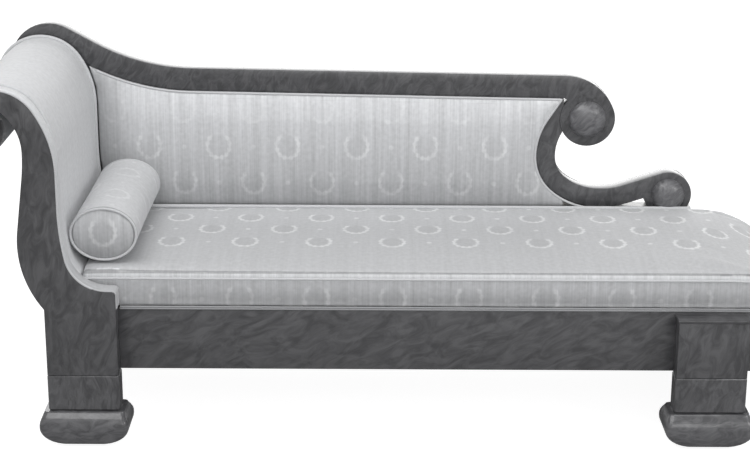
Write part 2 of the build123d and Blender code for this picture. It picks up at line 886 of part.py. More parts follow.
def all_parts():
    """Every node of the couch with its solid or its group of solids."""
    parts = {}
    parts.update(seat_rails())
    parts["corner_blocks"] = corner_blocks()
    parts["seat_cross_braces"] = seat_braces()
    parts.update(upper_blocks())
    parts.update(legs())
    parts["leg_dowels"] = dowel_pegs(dowel_radius)
    parts.update(frame_boards())
    parts.update(arm_upholstery())
    parts.update(seat_webbing())
    parts["seat_pad"] = seat_pad()
    parts.update(back_upholstery())
    parts["bolster"] = bolster()
    return parts


def write_parts():
    """One STEP file for each node."""
    os.makedirs("parts", exist_ok=True)
    for name, shape in all_parts().items():
        if isinstance(shape, list):
            solids = [solid for item in shape for solid in item.solids()]
            shape = Compound(children=solids)
        export_step(shape, f"parts/{name}.step")


write_parts()
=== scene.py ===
"""A scroll-end day couch: flame mahogany frame, silk damask seat, arm, back and bolster.

Lengths are metres. +X runs from the rolled arm to the low foot end, -Y is the front.
"""
import json
import math

import bmesh
import bpy
from mathutils import Matrix, Vector
from mathutils.bvhtree import BVHTree
from mathutils.kdtree import KDTree


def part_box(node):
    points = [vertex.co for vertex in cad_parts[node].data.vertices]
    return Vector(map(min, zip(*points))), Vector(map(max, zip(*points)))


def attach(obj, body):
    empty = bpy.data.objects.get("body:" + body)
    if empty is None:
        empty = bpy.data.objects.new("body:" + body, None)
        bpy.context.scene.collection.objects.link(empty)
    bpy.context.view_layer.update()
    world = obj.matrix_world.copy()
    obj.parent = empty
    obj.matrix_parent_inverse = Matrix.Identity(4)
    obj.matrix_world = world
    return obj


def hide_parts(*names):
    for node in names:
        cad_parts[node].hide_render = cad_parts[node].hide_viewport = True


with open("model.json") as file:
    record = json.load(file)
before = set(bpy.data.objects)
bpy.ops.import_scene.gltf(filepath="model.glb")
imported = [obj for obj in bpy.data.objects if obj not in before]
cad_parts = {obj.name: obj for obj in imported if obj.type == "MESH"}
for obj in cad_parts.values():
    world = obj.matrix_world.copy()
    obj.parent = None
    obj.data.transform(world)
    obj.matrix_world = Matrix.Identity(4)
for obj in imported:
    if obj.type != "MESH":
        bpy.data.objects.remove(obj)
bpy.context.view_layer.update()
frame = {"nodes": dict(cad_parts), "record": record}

bl_info = {
    "name": "Recamier",
    "version": (1, 0, 0),
    "blender": (4, 5, 0),
    "location": "3D View > Sidebar > Recamier",
    "description": "Dresses the couch's frame with polished wood, upholstery and trim",
    "category": "Object",
}

MM = 0.001
COUCH = "couch"
BOLSTER = "bolster"

# the arm's S curve and the crest, with the sizes of the wooden boards
ROLL_RADIUS = 107 * MM
NECK_RADIUS = 275 * MM
NECK_TURN = 34.5
HOLLOW_RADIUS = 668 * MM
HOLLOW_TURN = 10.9
COVE_RADIUS = 101 * MM
HEAD_RADIUS = 102 * MM
HEAD_SHIFT = 19 * MM
HEAD_RISE = 49 * MM
HEAD_START = 60.0
CREST_SLOPE = 0.93
CREST_WIDTH = 62 * MM
SWEEP_RADIUS = 553 * MM
SWEEP_TURN = 28.0
SWEEP_RUN = 80 * MM
CREST_RUN = 1005.5 * MM
SCROLL_WIDTH = 53 * MM
SCROLL_LEFT = 84 * MM
SCROLL_BELOW = 102 * MM
SCROLL_TOP_RADIUS = 132 * MM
SCROLL_TOP_TURN = 33.0
SCROLL_TOP_RUN = 76 * MM
SCROLL_TURN_RADIUS = 78 * MM
SCROLL_TURN = 52.0
SCROLL_BASE_RADIUS = 150 * MM
SCROLL_CORNER_Z = 582.9 * MM
SHOULDER_ROUND = 8 * MM
FALL_REACH = 195 * MM
FALL_END_RADIUS = 60 * MM

FACING_LOW, FACING_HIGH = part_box("arm_facing_front")
RAIL_LOW, RAIL_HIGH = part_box("front_seat_rail")
SEAT_LOW, SEAT_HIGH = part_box("seat_pad")
CREST_LOW, CREST_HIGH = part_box("crest_rail")
SCROLL_LOW, SCROLL_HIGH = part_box("c_scroll")
BACK_LOW, BACK_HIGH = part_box("back_pad")
ROLL_X = FACING_LOW.x + ROLL_RADIUS
ROLL_Z = FACING_HIGH.z - ROLL_RADIUS
RAIL_TOP = RAIL_HIGH.z
SHOULDER_Z = RAIL_TOP + 59 * MM
BLOCK_RIGHT = FACING_HIGH.x
FALL_X = SEAT_HIGH.x - FALL_REACH
FRONT_RAIL_FACE = RAIL_LOW.y
REAR_RAIL_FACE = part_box("rear_seat_rail")[1].y
BACK_FACE = CREST_LOW.y
SEAT_EDGE_Z = RAIL_TOP + 97 * MM


# ------------------------------------------------------------------- settings
class SilkSettings(bpy.types.PropertyGroup):
    ground: bpy.props.StringProperty(
        name="Ground", description="Colour of the plain ground, as sRGB hex", default="D0D1D3"
    )
    figure: bpy.props.StringProperty(
        name="Figure", description="Colour of the woven wreaths, as sRGB hex", default="F3F4F5"
    )
    repeat_across: bpy.props.FloatProperty(
        name="Repeat across",
        description="From one wreath to the next in a row",
        default=186.5 * MM,
        unit="LENGTH",
    )
    repeat_along: bpy.props.FloatProperty(
        name="Repeat along",
        description="From one row of wreaths to the next",
        default=101 * MM,
        unit="LENGTH",
    )
    wreath_radius: bpy.props.FloatProperty(
        name="Wreath radius",
        description="Middle of the ring of leaves",
        default=30 * MM,
        unit="LENGTH",
    )
    dot_radius: bpy.props.FloatProperty(
        name="Dot radius", description="Dots between the wreaths", default=8 * MM, unit="LENGTH"
    )
    streak: bpy.props.FloatProperty(
        name="Streak", description="Contrast of the uneven warp threads", default=0.30
    )


class WoodSettings(bpy.types.PropertyGroup):
    dark: bpy.props.StringProperty(
        name="Dark", description="Dark of the flame figure, as sRGB hex", default="3A3A3C"
    )
    light: bpy.props.StringProperty(
        name="Light", description="Light of the flame figure, as sRGB hex", default="565658"
    )
    ease: bpy.props.FloatProperty(
        name="Eased edge",
        description="Width of the softened edges of the boards",
        default=1.6 * MM,
        unit="LENGTH",
    )
    block_chamfer: bpy.props.FloatProperty(
        name="Block chamfer",
        description="Width of the chamfers of the lower leg blocks",
        default=4.5 * MM,
        unit="LENGTH",
    )
    inside: bpy.props.StringProperty(
        name="Inner frame", description="Sawn wood of the hidden frame", default="ABA8A3"
    )


class PadSettings(bpy.types.PropertyGroup):
    pressure: bpy.props.FloatProperty(
        name="Pressure", description="How hard the stuffing pushes", default=4.0
    )
    swell: bpy.props.FloatProperty(
        name="Swell", description="Most that a pad swells", default=9 * MM, unit="LENGTH"
    )
    draw_in: bpy.props.FloatProperty(
        name="Draw in", description="How much smaller a pad starts", default=3 * MM, unit="LENGTH"
    )


class TrimSettings(bpy.types.PropertyGroup):
    welt: bpy.props.FloatProperty(
        name="Welt radius", description="Corded welts along seams", default=3.4 * MM, unit="LENGTH"
    )
    gimp: bpy.props.FloatProperty(
        name="Gimp radius", description="Fine cord over the rail", default=2.2 * MM, unit="LENGTH"
    )
    roll: bpy.props.FloatProperty(
        name="Roll radius",
        description="Fuller rolls that close the joints round the back",
        default=5.5 * MM,
        unit="LENGTH",
    )


class StageSettings(bpy.types.PropertyGroup):
    key: bpy.props.FloatProperty(name="Key", description="Power of the large lamp", default=68.0)
    fill: bpy.props.FloatProperty(name="Fill", description="Power of the front lamp", default=34.0)
    side: bpy.props.FloatProperty(name="Side", description="Power of the side lamp", default=24.0)
    sky: bpy.props.FloatProperty(name="Sky", description="Strength of the even light", default=0.5)
    screen: bpy.props.FloatProperty(
        name="Screen", description="Brightness of the screen that the polish mirrors", default=2.5
    )


SETTINGS = (
    (SilkSettings, "recamier_silk"),
    (WoodSettings, "recamier_wood"),
    (PadSettings, "recamier_pads"),
    (TrimSettings, "recamier_trim"),
    (StageSettings, "recamier_stage"),
)


# ------------------------------------------------------------------ materials
def linear(code):
    """An sRGB hex colour as a linear colour with full alpha."""
    levels = [int(code[i : i + 2], 16) / 255 for i in (0, 2, 4)]
    curve = [c / 12.92 if c <= 0.04045 else ((c + 0.055) / 1.055) ** 2.4 for c in levels]
    return (*curve, 1.0)


def add(tree, kind, inputs=None, **settings):
    """Adds a node, sets it, and links or fills its sockets."""
    node = tree.nodes.new(kind)
    for name, value in settings.items():
        setattr(node, name, value)
    for socket, value in (inputs or {}).items():
        if isinstance(value, bpy.types.NodeSocket):
            tree.links.new(value, node.inputs[socket])
        else:
            node.inputs[socket].default_value = value
    return node


def blank(name):
    """A material with one shader and its output."""
    made = bpy.data.materials.new(name)
    made.use_nodes = True
    made.node_tree.nodes.clear()
    return made, made.node_tree


def finish_material(tree, shader):
    add(tree, "ShaderNodeOutputMaterial", {"Surface": shader.outputs[0]})


def silk_damask(settings):
    """Silk damask on the cloth's own map, in metres.

    Satin figure on a taffeta ground: the figure is paler and smoother, and uneven warp
    threads leave fine streaks along the cloth. The 0.3 mm threads are too fine to show,
    so the weave is drawn at 1.2 mm.
    """
    made, tree = blank("silk_damask")
    place = add(tree, "ShaderNodeUVMap", uv_map="cloth")
    axes = add(tree, "ShaderNodeSeparateXYZ", {0: place.outputs[0]})
    across, along = axes.outputs[0], axes.outputs[1]
    height = settings.repeat_along
    width = settings.repeat_across
    row = add(tree, "ShaderNodeMath", {0: along, 1: 1 / height}, operation="MULTIPLY")
    row = add(tree, "ShaderNodeMath", {0: row.outputs[0], 1: 0.5}, operation="ADD")
    row = add(tree, "ShaderNodeMath", {0: row.outputs[0]}, operation="FLOOR")
    odd = add(tree, "ShaderNodeMath", {0: row.outputs[0], 1: 2.0}, operation="FLOORED_MODULO")
    shift = add(tree, "ShaderNodeMath", {0: odd.outputs[0], 1: width / 2}, operation="MULTIPLY")
    moved = add(tree, "ShaderNodeMath", {0: across, 1: shift.outputs[0]}, operation="SUBTRACT")
    y = add(
        tree, "ShaderNodeMath", {0: along, 1: height / 2, 2: -height / 2}, operation="WRAP"
    ).outputs[0]
    x = add(
        tree,
        "ShaderNodeMath",
        {0: moved.outputs[0], 1: width / 2, 2: -width / 2},
        operation="WRAP",
    ).outputs[0]
    halfway = add(tree, "ShaderNodeMath", {0: moved.outputs[0], 1: width / 2}, operation="ADD")
    x_dot = add(
        tree,
        "ShaderNodeMath",
        {0: halfway.outputs[0], 1: width / 2, 2: -width / 2},
        operation="WRAP",
    ).outputs[0]

    # the wreaths are a little taller than wide, and open at the top
    tall = add(
        tree, "ShaderNodeMath", {0: y, 1: 0.88, 2: -3 * MM}, operation="MULTIPLY_ADD"
    ).outputs[0]
    spot = add(tree, "ShaderNodeCombineXYZ", {0: x, 1: tall})
    radius = add(tree, "ShaderNodeVectorMath", {0: spot.outputs[0]}, operation="LENGTH")
    angle = add(tree, "ShaderNodeMath", {0: x, 1: tall}, operation="ARCTAN2").outputs[0]
    off_ring = add(
        tree,
        "ShaderNodeMath",
        {0: radius.outputs["Value"], 1: settings.wreath_radius},
        operation="SUBTRACT",
    ).outputs[0]
    side = add(tree, "ShaderNodeMath", {0: off_ring}, operation="ABSOLUTE").outputs[0]
    # paired leaves: the tips of each pair lean back along the ring
    turn = add(tree, "ShaderNodeMath", {0: angle}, operation="ABSOLUTE").outputs[0]
    lean = add(tree, "ShaderNodeMath", {0: side, 1: 170.0}, operation="MULTIPLY").outputs[0]
    phase = add(
        tree, "ShaderNodeMath", {0: turn, 1: 13.0, 2: lean}, operation="MULTIPLY_ADD"
    ).outputs[0]
    leaf = add(tree, "ShaderNodeMath", {0: phase}, operation="COSINE").outputs[0]
    leaf = add(tree, "ShaderNodeMath", {0: leaf, 1: 1.5 * MM, 2: 4.0 * MM}, operation="MULTIPLY_ADD")
    ring = add(tree, "ShaderNodeMath", {0: leaf.outputs[0], 1: side}, operation="SUBTRACT")
    ring = add(
        tree,
        "ShaderNodeMapRange",
        {0: ring.outputs[0], 1: -3.0 * MM, 2: 2.6 * MM, 3: 0.0, 4: 1.0},
        interpolation_type="SMOOTHSTEP",
    ).outputs[0]
    gap = add(
        tree,
        "ShaderNodeMapRange",
        {0: turn, 1: 0.45, 2: 0.85, 3: 0.0, 4: 1.0},
        interpolation_type="SMOOTHSTEP",
    ).outputs[0]
    ring = add(tree, "ShaderNodeMath", {0: ring, 1: gap}, operation="MULTIPLY").outputs[0]
    dot_place = add(tree, "ShaderNodeCombineXYZ", {0: x_dot, 1: y})
    dot = add(tree, "ShaderNodeVectorMath", {0: dot_place.outputs[0]}, operation="LENGTH")
    dot = add(
        tree,
        "ShaderNodeMapRange",
        {
            0: dot.outputs["Value"],
            1: settings.dot_radius - 4 * MM,
            2: settings.dot_radius + 1 * MM,
            3: 0.8,
            4: 0.0,
        },
        interpolation_type="SMOOTHSTEP",
    ).outputs[0]
    figure = add(tree, "ShaderNodeMath", {0: ring, 1: dot}, operation="MAXIMUM").outputs[0]
    shown = add(tree, "ShaderNodeAttribute", attribute_name="figure").outputs["Fac"]
    wear = add(tree, "ShaderNodeTexNoise", {"Vector": place.outputs[0], "Scale": 55.0, "Detail": 3.0})
    wear = add(
        tree, "ShaderNodeMapRange", {0: wear.outputs[0], 1: 0.35, 2: 0.62, 3: 0.55, 4: 1.0}
    ).outputs[0]
    shown = add(tree, "ShaderNodeMath", {0: shown, 1: wear}, operation="MULTIPLY").outputs[0]
    figure = add(tree, "ShaderNodeMath", {0: figure, 1: shown}, operation="MULTIPLY").outputs[0]
    inside = add(
        tree,
        "ShaderNodeMapRange",
        {
            0: radius.outputs["Value"],
            1: settings.wreath_radius - 8 * MM,
            2: settings.wreath_radius,
            3: -0.10,
            4: 0.0,
        },
    ).outputs[0]
    inside = add(
        tree, "ShaderNodeMath", {0: inside, 1: shown, 2: 1.0}, operation="MULTIPLY_ADD"
    ).outputs[0]

    # uneven warp threads, 2 to 12 mm wide and very long
    stretched = add(
        tree, "ShaderNodeMapping", {"Vector": place.outputs[0], "Scale": (1.0, 0.02, 1.0)}
    )
    streak = add(
        tree,
        "ShaderNodeTexNoise",
        {"Vector": stretched.outputs[0], "Scale": 210.0, "Detail": 4.0, "Roughness": 0.65},
    ).outputs[0]
    broad = add(
        tree,
        "ShaderNodeTexNoise",
        {"Vector": stretched.outputs[0], "Scale": 46.0, "Detail": 2.0},
    ).outputs[0]
    streak = add(tree, "ShaderNodeMath", {0: streak, 1: broad}, operation="ADD").outputs[0]
    streak = add(
        tree,
        "ShaderNodeMapRange",
        {0: streak, 1: 0.7, 2: 1.3, 3: -settings.streak / 2, 4: settings.streak / 2},
    ).outputs[0]
    # they catch the light on upright cloth, while lying cloth looks mottled
    facing = add(tree, "ShaderNodeNewGeometry").outputs["Normal"]
    facing = add(tree, "ShaderNodeSeparateXYZ", {0: facing}).outputs[1]
    facing = add(tree, "ShaderNodeMath", {0: facing}, operation="ABSOLUTE").outputs[0]
    facing = add(
        tree, "ShaderNodeMapRange", {0: facing, 1: 0.3, 2: 0.9, 3: 0.3, 4: 1.0}
    ).outputs[0]
    mottle = add(
        tree, "ShaderNodeTexNoise", {"Vector": place.outputs[0], "Scale": 90.0, "Detail": 3.0}
    ).outputs[0]
    mottle = add(
        tree, "ShaderNodeMapRange", {0: mottle, 1: 0.3, 2: 0.7, 3: 0.93, 4: 1.05}
    ).outputs[0]
    streak = add(
        tree, "ShaderNodeMath", {0: streak, 1: facing, 2: mottle}, operation="MULTIPLY_ADD"
    ).outputs[0]
    cloth = add(
        tree,
        "ShaderNodeMix",
        {0: figure, 6: linear(settings.ground), 7: linear(settings.figure)},
        data_type="RGBA",
    ).outputs[2]
    # painted light and shade: the tone attribute scales the silk's colour, and along the crease beside a seam the
    # colour is painted down to 0.55, as painted shade
    tone = add(tree, "ShaderNodeAttribute", attribute_name="tone").outputs["Fac"]
    seam = add(tree, "ShaderNodeAttribute", attribute_name="seam").outputs["Fac"]
    seam = add(
        tree,
        "ShaderNodeMapRange",
        {0: seam, 1: 1.6 * MM, 2: 4.2 * MM, 3: 0.55, 4: 1.0},
        interpolation_type="SMOOTHSTEP",
    ).outputs[0]
    for factor in (tone, seam, inside):
        streak = add(tree, "ShaderNodeMath", {0: streak, 1: factor}, operation="MULTIPLY").outputs[0]
    streaked = add(
        tree, "ShaderNodeVectorMath", {0: cloth, "Scale": streak}, operation="SCALE"
    ).outputs[0]

    thread = add(
        tree,
        "ShaderNodeTexWave",
        {"Vector": place.outputs[0], "Scale": 1 / (1.2 * MM) / 6.2832 * 2, "Distortion": 1.5},
        bands_direction="Y",
    ).outputs[1]
    weave = add(tree, "ShaderNodeMath", {0: thread, 1: 0.25}, operation="MULTIPLY").outputs[0]
    relief = add(
        tree, "ShaderNodeMath", {0: figure, 1: 0.7, 2: weave}, operation="MULTIPLY_ADD"
    ).outputs[0]
    relief = add(
        tree, "ShaderNodeMath", {0: streak, 1: 2.0, 2: relief}, operation="MULTIPLY_ADD"
    ).outputs[0]
    bump = add(
        tree, "ShaderNodeBump", {"Height": relief, "Strength": 0.35, "Distance": 0.4 * MM}
    )
    rough = add(
        tree, "ShaderNodeMapRange", {0: figure, 1: 0.0, 2: 1.0, 3: 0.62, 4: 0.45}
    ).outputs[0]
    shader = add(
        tree,
        "ShaderNodeBsdfPrincipled",
        {
            "Base Color": streaked,
            "Roughness": rough,
            "Normal": bump.outputs[0],
            "Specular IOR Level": 0.35,
            "Sheen Weight": 0.25,
            "Sheen Roughness": 0.4,
        },
    )
    finish_material(tree, shader)
    return made


def corded_silk(name, code):
    """Silk laid on the bias round a cord: plain ground with a fine, faintly toned grain."""
    made, tree = blank(name)
    place = add(tree, "ShaderNodeTexCoord").outputs["Object"]
    grain = add(
        tree, "ShaderNodeTexNoise", {"Vector": place, "Scale": 420.0, "Detail": 2.0}
    ).outputs[0]
    tone = add(tree, "ShaderNodeMapRange", {0: grain, 1: 0.3, 2: 0.7, 3: 0.92, 4: 1.04}).outputs[0]
    colour = add(
        tree, "ShaderNodeVectorMath", {0: linear(code)[:3], "Scale": tone}, operation="SCALE"
    ).outputs[0]
    bump = add(tree, "ShaderNodeBump", {"Height": grain, "Strength": 0.3, "Distance": 0.4 * MM})
    shader = add(
        tree,
        "ShaderNodeBsdfPrincipled",
        {
            "Base Color": colour,
            "Roughness": 0.55,
            "Normal": bump.outputs[0],
            "Specular IOR Level": 0.35,
            "Sheen Weight": 0.2,
        },
    )
    finish_material(tree, shader)
    return made


def flame_mahogany(name, settings, turn, reach, painted_light=1.0, coat_rough=0.12):
    """Crotch mahogany veneer under a satin polish.

    The figure plumes are 60 to 150 mm long with soft edges, and the pores are short dark
    dashes along the grain. turn lays the grain in the X-Z plane, reach scales the plumes,
    and worn above 1 is how much paler the whole veneer is painted, as painted light standing
    in for more light falling on the part.
    """
    made, tree = blank(name)
    place = add(tree, "ShaderNodeTexCoord").outputs["Object"]
    laid = add(
        tree, "ShaderNodeMapping", {"Vector": place, "Rotation": (0.0, math.radians(turn), 0.0)}
    ).outputs[0]
    bend = add(
        tree, "ShaderNodeTexNoise", {"Vector": laid, "Scale": 5.0 / reach, "Detail": 2.0}
    ).outputs[1]
    bent = add(
        tree, "ShaderNodeMix", {0: 0.09, 4: laid, 5: bend}, data_type="VECTOR"
    ).outputs[1]
    drawn = add(
        tree, "ShaderNodeMapping", {"Vector": bent, "Scale": (1.0, 1.0, 2.4)}
    ).outputs[0]
    plume = add(
        tree,
        "ShaderNodeTexNoise",
        {"Vector": drawn, "Scale": 22.0 / reach, "Detail": 4.0, "Roughness": 0.6, "Distortion": 1.2},
    ).outputs[0]
    fine = add(
        tree, "ShaderNodeMapping", {"Vector": bent, "Scale": (1.0, 1.0, 14.0)}
    ).outputs[0]
    pores = add(
        tree,
        "ShaderNodeTexNoise",
        {"Vector": fine, "Scale": 70.0, "Detail": 4.0, "Roughness": 0.7},
    ).outputs[0]
    level = add(tree, "ShaderNodeMath", {0: pores, 1: 0.18, 2: plume}, operation="MULTIPLY_ADD")
    ramp = add(tree, "ShaderNodeValToRGB", {0: level.outputs[0]})
    for end, position, colour in ((0, 0.44, settings.dark), (1, 0.74, settings.light)):
        ramp.color_ramp.elements[end].position = position
        shade_here = [min(1.0, painted_light * level) for level in linear(colour)[:3]]
        ramp.color_ramp.elements[end].color = (*shade_here, 1.0)
    bump = add(tree, "ShaderNodeBump", {"Height": pores, "Strength": 0.12, "Distance": 0.3 * MM})
    rough = add(tree, "ShaderNodeMapRange", {0: pores, 1: 0.3, 2: 0.7, 3: 0.30, 4: 0.42}).outputs[0]
    shader = add(
        tree,
        "ShaderNodeBsdfPrincipled",
        {
            "Base Color": ramp.outputs[0],
            "Roughness": rough,
            "Normal": bump.outputs[0],
            "IOR": 1.5,
            "Coat Weight": 0.5,
            "Coat Roughness": coat_rough,
        },
    )
    finish_material(tree, shader)
    return made


def sawn_beech(code):
    """Sawn, unfinished frame wood: saw marks across a faint straight grain."""
    made, tree = blank("sawn_beech")
    place = add(tree, "ShaderNodeTexCoord").outputs["Object"]
    drawn = add(
        tree, "ShaderNodeMapping", {"Vector": place, "Scale": (1.0, 8.0, 8.0)}
    ).outputs[0]
    grain = add(
        tree, "ShaderNodeTexNoise", {"Vector": drawn, "Scale": 22.0, "Detail": 4.0}
    ).outputs[0]
    tone = add(tree, "ShaderNodeMapRange", {0: grain, 1: 0.25, 2: 0.75, 3: 0.78, 4: 1.08}).outputs[0]
    colour = add(
        tree, "ShaderNodeVectorMath", {0: linear(code)[:3], "Scale": tone}, operation="SCALE"
    ).outputs[0]
    marks = add(
        tree, "ShaderNodeTexWave", {"Vector": place, "Scale": 90.0, "Distortion": 2.0}
    ).outputs[1]
    bump = add(tree, "ShaderNodeBump", {"Height": marks, "Strength": 0.2, "Distance": 0.4 * MM})
    shader = add(
        tree,
        "ShaderNodeBsdfPrincipled",
        {"Base Color": colour, "Roughness": 0.75, "Normal": bump.outputs[0]},
    )
    finish_material(tree, shader)
    return made


def plain_weave(name, code, thread, rough):
    """A plain woven cloth on Object coordinates; thread is the drawn spacing in metres."""
    made, tree = blank(name)
    place = add(tree, "ShaderNodeTexCoord").outputs["Object"]
    scale = 1 / thread / 3.0
    one = add(
        tree, "ShaderNodeTexWave", {"Vector": place, "Scale": scale, "Distortion": 0.6}
    ).outputs[1]
    other = add(
        tree,
        "ShaderNodeTexWave",
        {"Vector": place, "Scale": scale, "Distortion": 0.6},
        bands_direction="Z",
    ).outputs[1]
    weave = add(tree, "ShaderNodeMath", {0: one, 1: other}, operation="MULTIPLY").outputs[0]
    slub = add(tree, "ShaderNodeTexNoise", {"Vector": place, "Scale": 30.0, "Detail": 4.0}).outputs[0]
    tone = add(tree, "ShaderNodeMapRange", {0: slub, 1: 0.25, 2: 0.75, 3: 0.88, 4: 1.06}).outputs[0]
    colour = add(
        tree, "ShaderNodeVectorMath", {0: linear(code)[:3], "Scale": tone}, operation="SCALE"
    ).outputs[0]
    bump = add(tree, "ShaderNodeBump", {"Height": weave, "Strength": 0.4, "Distance": 0.4 * MM})
    shader = add(
        tree,
        "ShaderNodeBsdfPrincipled",
        {"Base Color": colour, "Roughness": rough, "Normal": bump.outputs[0]},
    )
    finish_material(tree, shader)
    return made


def forged_iron():
    """Dull iron of the nail glides, scuffed where they meet the floor."""
    made, tree = blank("forged_iron")
    place = add(tree, "ShaderNodeTexCoord").outputs["Object"]
    scuff = add(tree, "ShaderNodeTexNoise", {"Vector": place, "Scale": 300.0, "Detail": 3.0}).outputs[0]
    rough = add(tree, "ShaderNodeMapRange", {0: scuff, 1: 0.3, 2: 0.7, 3: 0.35, 4: 0.6}).outputs[0]
    shader = add(
        tree,
        "ShaderNodeBsdfPrincipled",
        {"Base Color": linear("5A5A5C"), "Metallic": 1.0, "Roughness": rough},
    )
    finish_material(tree, shader)
    return made


# --------------------------------------------------------------- mesh helpers
def tangent_points(start, heading, steps, shift=0.0, spacing=6 * MM):
    """Points on lines and arcs that meet tangentially, in X and Z, moved sideways by shift."""
    angle = math.radians(heading)
    x = start[0] - shift * math.sin(angle)
    z = start[1] + shift * math.cos(angle)
    points = [(x, z)]
    for radius, amount in steps:
        if radius is None:
            count = max(1, round(amount / spacing))
            run = [(amount / count, 0.0)] * count
        else:
            bend = math.radians(abs(amount))
            bent = radius - shift if amount > 0 else radius + shift
            count = max(2, math.ceil(bend * bent / spacing))
            piece = bend / count
            run = [(2 * bent * math.sin(piece / 2), math.copysign(piece, amount))] * count
        for length, bend in run:
            x += length * math.cos(angle + bend / 2)
            z += length * math.sin(angle + bend / 2)
            angle += bend
            points.append((x, z))
    return points


def inner_edge(top_radius, second_radius, cove_turn, shift=0.0):
    """The edge of the arm that faces the sitter, from the scroll down to the seat."""
    straight_top = ROLL_Z + (top_radius - second_radius) * math.sin(math.radians(NECK_TURN))
    cove_start = SHOULDER_Z + COVE_RADIUS * (1 - math.sin(math.radians(HOLLOW_TURN)))
    straight = straight_top - HOLLOW_RADIUS * math.sin(math.radians(HOLLOW_TURN)) - cove_start
    steps = [
        (top_radius, NECK_TURN - 180),
        (second_radius, -NECK_TURN),
        (None, straight),
        (HOLLOW_RADIUS, HOLLOW_TURN),
        (COVE_RADIUS, cove_turn),
    ]
    return tangent_points((ROLL_X - top_radius, ROLL_Z), 90, steps, shift)


def crest_underside(shift=0.0):
    """Lower edge of the crest rail, from the arm to its round scroll."""
    angle = math.radians(HEAD_START + 90)
    start = (
        ROLL_X + HEAD_SHIFT + HEAD_RADIUS * math.cos(angle),
        ROLL_Z + HEAD_RISE + HEAD_RADIUS * math.sin(angle),
    )
    steps = [
        (HEAD_RADIUS, -(HEAD_START + CREST_SLOPE + SWEEP_TURN)),
        (None, SWEEP_RUN),
        (SWEEP_RADIUS, SWEEP_TURN),
        (None, CREST_RUN),
    ]
    return tangent_points(start, HEAD_START, steps, shift - CREST_WIDTH)


def scroll_edge(start, shift=0.0):
    """Outer edge of the C-shaped member where the back's upholstery meets it."""
    up = tangent_points(
        start,
        90,
        [(SCROLL_TOP_RADIUS, -SCROLL_TOP_TURN), (None, SCROLL_TOP_RUN)],
        SCROLL_WIDTH + shift,
    )
    down = tangent_points(
        start,
        -90,
        [(SCROLL_TURN_RADIUS, SCROLL_TURN), (SCROLL_BASE_RADIUS, 90 - SCROLL_TURN)],
        -SCROLL_WIDTH - shift,
    )
    return list(reversed(up)) + down[1:]


def tidy(mesh, ease=0.0):
    """Joins loose triangles into flat faces, and softens hard edges by ease."""
    work = bmesh.new()
    work.from_mesh(mesh)
    bmesh.ops.remove_doubles(work, verts=work.verts, dist=0.02 * MM)
    if ease:
        bmesh.ops.dissolve_limit(
            work,
            angle_limit=math.radians(0.6),
            verts=work.verts,
            edges=work.edges,
        )
        hard = [
            edge
            for edge in work.edges
            if len(edge.link_faces) == 2 and edge.calc_face_angle(0) > math.radians(40)
        ]
        bmesh.ops.bevel(
            work,
            geom=hard,
            offset=ease,
            offset_type="OFFSET",
            segments=2,
            profile=0.5,
            affect="EDGES",
            clamp_overlap=True,
        )
    bmesh.ops.recalc_face_normals(work, faces=work.faces)
    work.to_mesh(mesh)
    work.free()


def piece(name, mesh, body, slot, material, nodes=()):
    """An object at the origin that rides on a body, in place of CAD nodes."""
    made = bpy.data.objects.new(name, mesh)
    bpy.context.scene.collection.objects.link(made)
    made.data.materials.clear()
    made.data.materials.append(material)
    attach(made, body)
    if nodes:
        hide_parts(*nodes)
    return made


def shade(mesh, angle=30.0):
    """Smooth shading that keeps edges sharper than an angle."""
    mesh.polygons.foreach_set("use_smooth", [True] * len(mesh.polygons))
    mesh.set_sharp_from_angle(angle=math.radians(angle))


def baked(holder):
    """The holder's evaluated mesh, with its modifiers taken off."""
    graph = bpy.context.evaluated_depsgraph_get()
    mesh = bpy.data.meshes.new_from_object(holder.evaluated_get(graph), depsgraph=graph)
    holder.modifiers.clear()
    return mesh


